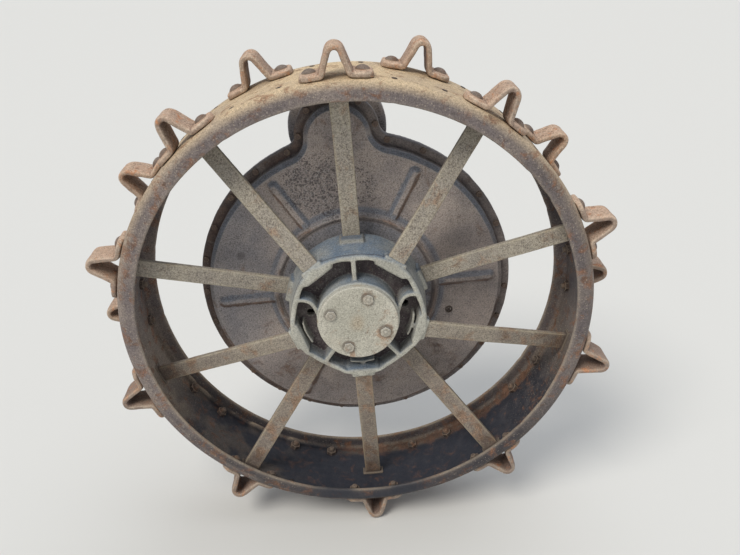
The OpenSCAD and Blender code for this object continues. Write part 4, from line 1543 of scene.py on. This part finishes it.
@dataclass
class CaseCover:
    """The cast cover of the final drive: a broad dished face with ribs, bevel and bolted flange."""

    face: float = 0.116
    joint: float = 0.076
    wall: float = 0.010
    bevel: float = 0.009
    flange: float = 0.020
    flange_thick: float = 0.012
    boss: float = 0.184
    crest: float = 0.1745
    dish: float = 0.1685
    step: float = 0.011
    dish_low: float = 0.004
    inner_boss: float = 0.120
    rib_end: float = 0.304
    rib_half: float = 0.0135
    rib_crest: float = 0.0042
    rib_high: float = 0.0072
    rib_phase: float = 4.7
    bore: float = 0.03805
    bearing: Pair = (0.069, 0.100)
    flat_r: float = 0.200
    inset: float = 0.004
    under_r: float = 0.18
    columns: int = 600
    outline: Outline = field(default_factory=Outline)

    def ring(self, offset: float, depth: float, samples: tuple[Array, Array, Array]) -> Array:
        """The outline moved out by an offset, at one depth."""
        centre, toward, radius = samples
        return level(centre + toward * (radius + offset)[:, None], depth)

    def relief(self, flat: Array) -> Array:
        """Height of the six ribs over the face.

        Formula: each rib's height is its full height times a ramp across it, from the foot's
        half width to the crest's, times a ramp at its outer end.
        """
        height = np.zeros(flat.shape[:-1])
        for k in range(6):
            a = math.radians(self.rib_phase + 60.0 * k)
            along = flat[..., 0] * math.cos(a) + flat[..., 1] * math.sin(a)
            across = np.abs(flat[..., 1] * math.cos(a) - flat[..., 0] * math.sin(a))
            past = np.clip(along - (self.rib_end - self.rib_half), 0.0, None)
            spread = np.hypot(across, past)
            ramp = fade(spread, self.rib_crest, self.rib_half)
            height = np.maximum(height, self.rib_high * ramp * smooth(along, 0.172, 0.182))
        return height

    def rows(self) -> Array:
        """The whole closed surface in plan, row by row from the bore out and back inside."""
        samples = self.outline.sample(self.columns)
        edge = self.ring(-self.bevel - self.inset, self.face, samples)
        angle = np.arctan2(edge[:, 1], edge[:, 0])
        circle = unit(angle)
        high = self.face + 2.0 * self.step
        low = self.face + self.step - self.dish_low
        ledge = self.face + self.step - 0.001
        profile = rounded_path(
            [(self.bore, high, 0.0), (self.inner_boss, high, 0.002), (self.inner_boss, low, 0.003),
             (self.dish - 0.003, low, 0.003), (self.dish + 0.003, ledge, 0.003),
             (self.crest, ledge, 0.002), (self.boss, self.face, 0.006),
             (self.flat_r, self.face, 0.0)], 0.0034, arc_steps=4)
        profile = profile[(profile[:, 0] > 0.118) | (np.arange(len(profile)) % 8 == 0)]
        grid = [level(circle * radius, depth) for radius, depth in profile]
        grid += [level(circle * self.flat_r * (1.0 - t) + edge[:, :2] * t, self.face)
                 for t in np.linspace(0.0, 1.0, 43)[1:]]
        outside = np.stack(grid)
        ribs = self.face + self.relief(outside[..., :2])
        blended = soft_max(outside[..., 2], ribs, 0.003)
        outside[..., 2] = np.where(ribs > self.face, blended, outside[..., 2])
        top = self.joint + self.flange_thick
        under = self.face - self.wall
        side = rounded_path(
            [(-self.bevel - self.inset, self.face, 0.0), (-self.bevel, self.face, 0.002),
             (0.0, self.face - self.bevel, 0.002), (0.0, top, 0.004), (self.flange, top, 0.0015),
             (self.flange, self.joint, 0.0008), (-self.wall, self.joint, 0.001),
             (-self.wall, under, 0.003), (-self.wall - 0.020, under, 0.0)],
            0.004, arc_steps=4)[1:]
        rim = np.stack([self.ring(offset, depth, samples) for offset, depth in side])
        seat_r, seat = self.bearing
        inner = np.stack([level(circle * r, z) for r, z in (
            (self.under_r, under), (seat_r, under), (seat_r, seat), (self.bore, seat))])
        return np.concatenate([outside, rim, inner])

    def build(self) -> None:
        """The cover with its casting skin, and where its painted light and shade, stains, rust and
        specks lie.
        """
        piece = gathered("case_cover_casting", [self.rows()], wrap_rows=True)
        mesh = piece.data
        points = to_plan(coordinates(mesh))
        x, y, z = points.T
        radius = radius_of(points)
        skin = smooth(z, self.joint + 0.001, self.joint + 0.008) * smooth(radius, 0.13, 0.15)
        roughen(mesh, height=0.0005, per_metre=38.0, layers=4, seed=51, mask=skin)
        out = normals(mesh)
        # The face with its ribs, the bolted flange, how steep a surface is and whether it leans
        # up to the sky.
        near_face = smooth(z, self.joint + 0.02, self.joint + 0.03)
        flange = fade(z, self.joint + 0.011, self.joint + 0.016)
        slope = smooth(np.hypot(out[:, 0], out[:, 2]), 0.10, 0.32) * near_face
        lean = (out[:, 2] * 0.98 - out[:, 0] * 0.1) * smooth(radius, 0.178, 0.188)

        # Painted blue-grey sky light on slopes that face up and beside the crest, painted shade in
        # the dish under the hub, and blue-grey at the left.
        painted_sky_and_shade = slope * smooth(lean, 0.0, 0.3)
        for share, where in ((0.85, band(radius, 0.1865, 0.009, 0.003)),
                             (0.7, fade(radius, 0.160, 0.166)),
                             (0.50, smooth(-x - 0.4 * np.abs(y - 0.03), 0.10, 0.20))):
            painted_sky_and_shade = np.maximum(painted_sky_and_shade, share * where * near_face)
        # Painted warm light on slopes that face down, and brown at the foot, on the arch, the crest
        # and the flange's left.
        brown_and_warm_light = slope * fade(lean, -0.3, 0.0) + 0.30 * fade(y, -0.25, 0.02)
        brown_and_warm_light += 0.30 * smooth(y, 0.27, 0.36)
        brown_and_warm_light = np.maximum(brown_and_warm_light, 0.6 * band(radius, 0.1735, 0.006, 0.002) * near_face)
        brown_and_warm_light = np.maximum(brown_and_warm_light, flange * fade(x, -0.1, 0.05))

        # Dense specks in a patch on each side of the top spoke.
        left = smooth(x, -0.175, -0.125) * fade(x, -0.040, -0.015)
        left *= smooth(y + 0.35 * x, 0.12, 0.16)
        right = smooth(x, -0.02, 0.0) * fade(x, 0.03, 0.075) * smooth(y, 0.17, 0.21)
        dense = np.maximum(left, 0.75 * right) * fade(y, 0.26, 0.36)
        speck = np.maximum(upper_specks(mesh, 0.30, 0.36), 0.75 * dense)

        # Darker on the flange, painted shade in the crease round the dish, a dark spot in one
        # dimple, and painted shade at the right and foot.
        line = band(radius, self.dish - 0.002, 0.006, 0.002) * near_face
        dimple = fade(np.hypot(x + 0.2463, y - 0.0863), 0.006, 0.012)
        shade = 0.42 * smooth(x, 0.06, 0.22) * fade(y, 0.08, 0.20)
        shade = np.maximum(shade, 0.22 * fade(y, -0.18, -0.02)) * near_face
        grime_and_shade = np.clip(0.62 * flange + 0.42 * line + 0.5 * dimple + shade, 0.0, 0.9)
        dress(piece, CASE_IRON, Body.CASE, ["case_cover"], zone=painted_sky_and_shade,
              speck=speck, rust_and_warm_light=np.clip(brown_and_warm_light, 0.0, 1.0), grime_and_shade=grime_and_shade)


@dataclass
class CaseBack:
    """The inboard half of the case, fused and softened from its own solid."""

    voxel: float = 0.0036

    def build(self) -> None:
        """A softened copy of the solid."""
        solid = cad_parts["case_back"].data.copy()
        mesh = remeshed([solid], "case_back_casting", self.voxel, 3)
        roughen(mesh, height=0.0005, per_metre=38.0, layers=3, seed=52)
        piece = new_object("case_back_casting", mesh)
        points = to_plan(coordinates(mesh))
        height = points[:, 1]
        # The outer edge below the top is darker: painted shade behind the cover.
        edge = smooth(radius_of(points), 0.285, 0.325) * fade(height, 0.24, 0.30)
        runs = layered_noise(points * [1.0, 0.16, 1.0], 34.0, layers=2, seed=61)
        streaks = smooth(runs, 0.15, 0.8) * fade(height, -0.05, 0.30)
        stain = smooth(layered_noise(points, 7.0, layers=3, seed=62), -0.1, 0.9)
        dress(piece, CASE_IRON, Body.CASE, ["case_back"], zone=0.8 * stain,
              speck=upper_specks(mesh, 0.28, 0.40), rust_and_warm_light=0.7 * streaks,
              grime_and_shade=np.clip(0.45 * edge + 0.25 * streaks, 0.0, 0.8))


@dataclass
class CaseHardware:
    """The bolts round the joint, the drain plug under the case and the level plug in its face."""

    across: float = 0.0115
    head: float = 0.005
    washer: float = 0.0012
    bolt_end: Pair = (0.0034, 0.0065)
    drain: Triple = (0.019, 0.0115, 0.002)
    cover: CaseCover = field(default_factory=CaseCover)

    def bolt_places(self) -> Array:
        """Plan places of the joint's bolts: round the case and over its arch."""
        out = self.cover.flange * 0.6
        round_r, arch_r = self.cover.outline.round_r + out, self.cover.outline.arch_r + out
        around = np.radians(np.linspace(114.0, 438.0, 25))
        over = np.radians(np.arange(16.0, 181.0, 41.0))
        low = round_r * unit(around)
        high = arch_r * unit(over) + self.cover.outline.top
        return np.vstack([low, high])

    @staticmethod
    def above(node: str, axis: int, lift: float) -> Array:
        """Middle of a plug's box, moved along one axis to a lift over the box's high side."""
        low, high = np.array(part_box(node))
        middle = (low + high) / 2.0
        middle[axis] = high[axis] + lift
        return middle

    def build(self) -> None:
        """Bolts with nuts, and the two plugs."""
        bolts, drain, plug = Shell(), Shell(), Shell()
        outer = self.cover.joint + self.cover.flange_thick
        inner = self.cover.joint - self.cover.flange_thick
        for k, (x, y) in enumerate(self.bolt_places()):
            spin = np.array([math.cos(k * 1.9), math.sin(k * 1.9), 0.0])
            for grid, depth, right, up in (
                    (hex_head(self.across, self.head, self.washer, 5), outer - SINK, spin, AXIS_Z),
                    (hex_head(self.across, self.head, 0.0, 5), inner + SINK, spin, -AXIS_Z),
                    (stud(*self.bolt_end, 12), inner, AXIS_X, -AXIS_Z)):
                bolts.solid(to_row(place(grid, np.array([x, y, depth]), right, up)))
        drain.solid(place(hex_head(*self.drain), self.above("drain_plug", 2, SINK), AXIS_X,
                          -AXIS_Z))
        collar = rounded_path(
            [(0.0, -0.001, 0.0), (0.0085, -0.001, 0.0), (0.0085, 0.0022, 0.001),
             (0.0060, 0.0022, 0.0006), (0.0055, 0.0002, 0.0004), (0.0, 0.0002, 0.0)], 0.0012)
        square = rounded_box((0.0030, 0.0030, 0.0024), 0.0006, 3)
        for grid, lift, lean in ((revolve(collar, 32), 0.0, 0.0), (square, -0.0018, 0.3)):
            plug.solid(place(grid, self.above("level_plug", 1, lift),
                             np.array([1.0, 0.0, lean]), -AXIS_Y))
        for shell, name, node, grime_and_shade in ((bolts, "case_joint_bolts", "case_bolts", 0.0),
                                         (drain, "case_drain_plug", "drain_plug", 0.0),
                                         (plug, "case_level_plug", "level_plug", 0.85)):
            dress(shell.piece(name), BOLT_RUST, Body.CASE, [node], spread=1,
                  grime_and_shade=grime_and_shade)


# ---------------------------------------------------------------- stage


@dataclass
class Studio:
    """Camera, light and floor."""

    position: Triple = (0.0186, -1.5652, 0.4171)
    yaw: float = 0.0294
    pitch: float = 0.4655
    roll: float = -0.016
    lens: float = 36.12
    floor_size: float = 60.0
    paper: Rgb = (212, 212, 209)
    sky: Rgb = (242, 246, 252)
    sky_power: float = 0.5
    seen: Rgb = (228, 228, 226)
    lamps: tuple[tuple[str, Triple, float, float, Rgb], ...] = (
        ("key", (-0.50, -0.60, 1.0), 2.0, 26.0, (255, 250, 242)),
        ("top", (0.30, 0.25, 1.0), 0.8, 60.0, (246, 249, 255)))

    def camera(self) -> None:
        """The camera, solved from the photograph's circles."""
        flat = math.cos(self.pitch)
        forward = np.array([math.sin(self.yaw) * flat, math.cos(self.yaw) * flat,
                            -math.sin(self.pitch)])
        right = np.array([math.cos(self.yaw), -math.sin(self.yaw), 0.0])
        up = np.cross(right, forward)
        c, s = math.cos(self.roll), math.sin(self.roll)
        axes = np.column_stack([c * right + s * up, -s * right + c * up, -forward])
        data = bpy.data.cameras.new("view")
        data.lens, data.sensor_width, data.clip_end = self.lens, 36.0, 200.0
        camera = linked("view", data)
        matrix = np.eye(4)
        matrix[:3, :3], matrix[:3, 3] = axes, self.position
        camera.matrix_world = Matrix(matrix.tolist())
        bpy.context.scene.camera = camera

    def lamp(self, name: str, toward: Triple, power: float, softness: float,
             colour: Rgb) -> None:
        """A far soft lamp, so that the floor is lit evenly.

        Args:
            name: the lamp's name.
            toward: direction from the wheel to the lamp.
            power: its strength on a surface that faces it.
            softness: how wide it looks, in degrees.
            colour: its screen colour.
        """
        data = bpy.data.lights.new(name, "SUN")
        data.energy, data.angle, data.color = power, math.radians(softness), linear(colour)[:3]
        lamp = linked(name, data)
        lamp.rotation_euler = Vector(toward).to_track_quat("Z", "Y").to_euler()

    def floor(self) -> None:
        """A pale floor under the lowest lug."""
        half = self.floor_size / 2.0
        mesh = bpy.data.meshes.new("floor")
        corners = ((-half, -half), (half, -half), (half, half), (-half, half))
        mesh.from_pydata([(x, y, FLOOR_Z) for x, y in corners], [], [(0, 1, 2, 3)])
        floor = linked("floor", mesh)
        material = bpy.data.materials.new("floor_paper")
        material.use_nodes = True
        shader = material.node_tree.nodes["Principled BSDF"]
        shader.inputs["Base Color"].default_value = linear(self.paper)
        shader.inputs["Roughness"].default_value = 0.95
        shader.inputs["Specular IOR Level"].default_value = 0.1
        mesh.materials.append(material)

    def build(self) -> None:
        """Sets the whole stage."""
        self.camera()
        self.floor()
        for lamp in self.lamps:
            self.lamp(*lamp)
        world = bpy.data.worlds.new("sky")
        world.use_nodes = True
        nodes, links = world.node_tree.nodes, world.node_tree.links
        sky = nodes["Background"]
        sky.inputs["Color"].default_value = linear(self.sky)
        sky.inputs["Strength"].default_value = self.sky_power
        seen = nodes.new("ShaderNodeBackground")
        seen.inputs["Color"].default_value = linear(self.seen)
        path, choice = nodes.new("ShaderNodeLightPath"), nodes.new("ShaderNodeMixShader")
        links.new(path.outputs["Is Camera Ray"], choice.inputs[0])
        links.new(sky.outputs[0], choice.inputs[1])
        links.new(seen.outputs[0], choice.inputs[2])
        links.new(choice.outputs[0], nodes["World Output"].inputs["Surface"])
        bpy.context.scene.world = world
        bpy.context.scene.view_settings.view_transform = "Standard"


def dress_hidden() -> None:
    """Gives the axle and gear inside the case their finishes."""
    for node in ("axle", "bull_gear"):
        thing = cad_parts[node]
        thing.data.materials.clear()
        thing.data.materials.append(BARE_STEEL.material())
        LOG.info("%s keeps its solid", node)


def main() -> None:
    """Builds the stage, then the wheel and its case piece by piece."""
    logging.basicConfig(level=logging.INFO, format="%(message)s")
    for part in (Studio, Rim, Lugs, Spokes, Hub, HubCap, CaseCover, CaseBack, CaseHardware):
        part().build()
    dress_hidden()


if __name__ == "__main__":
    main()
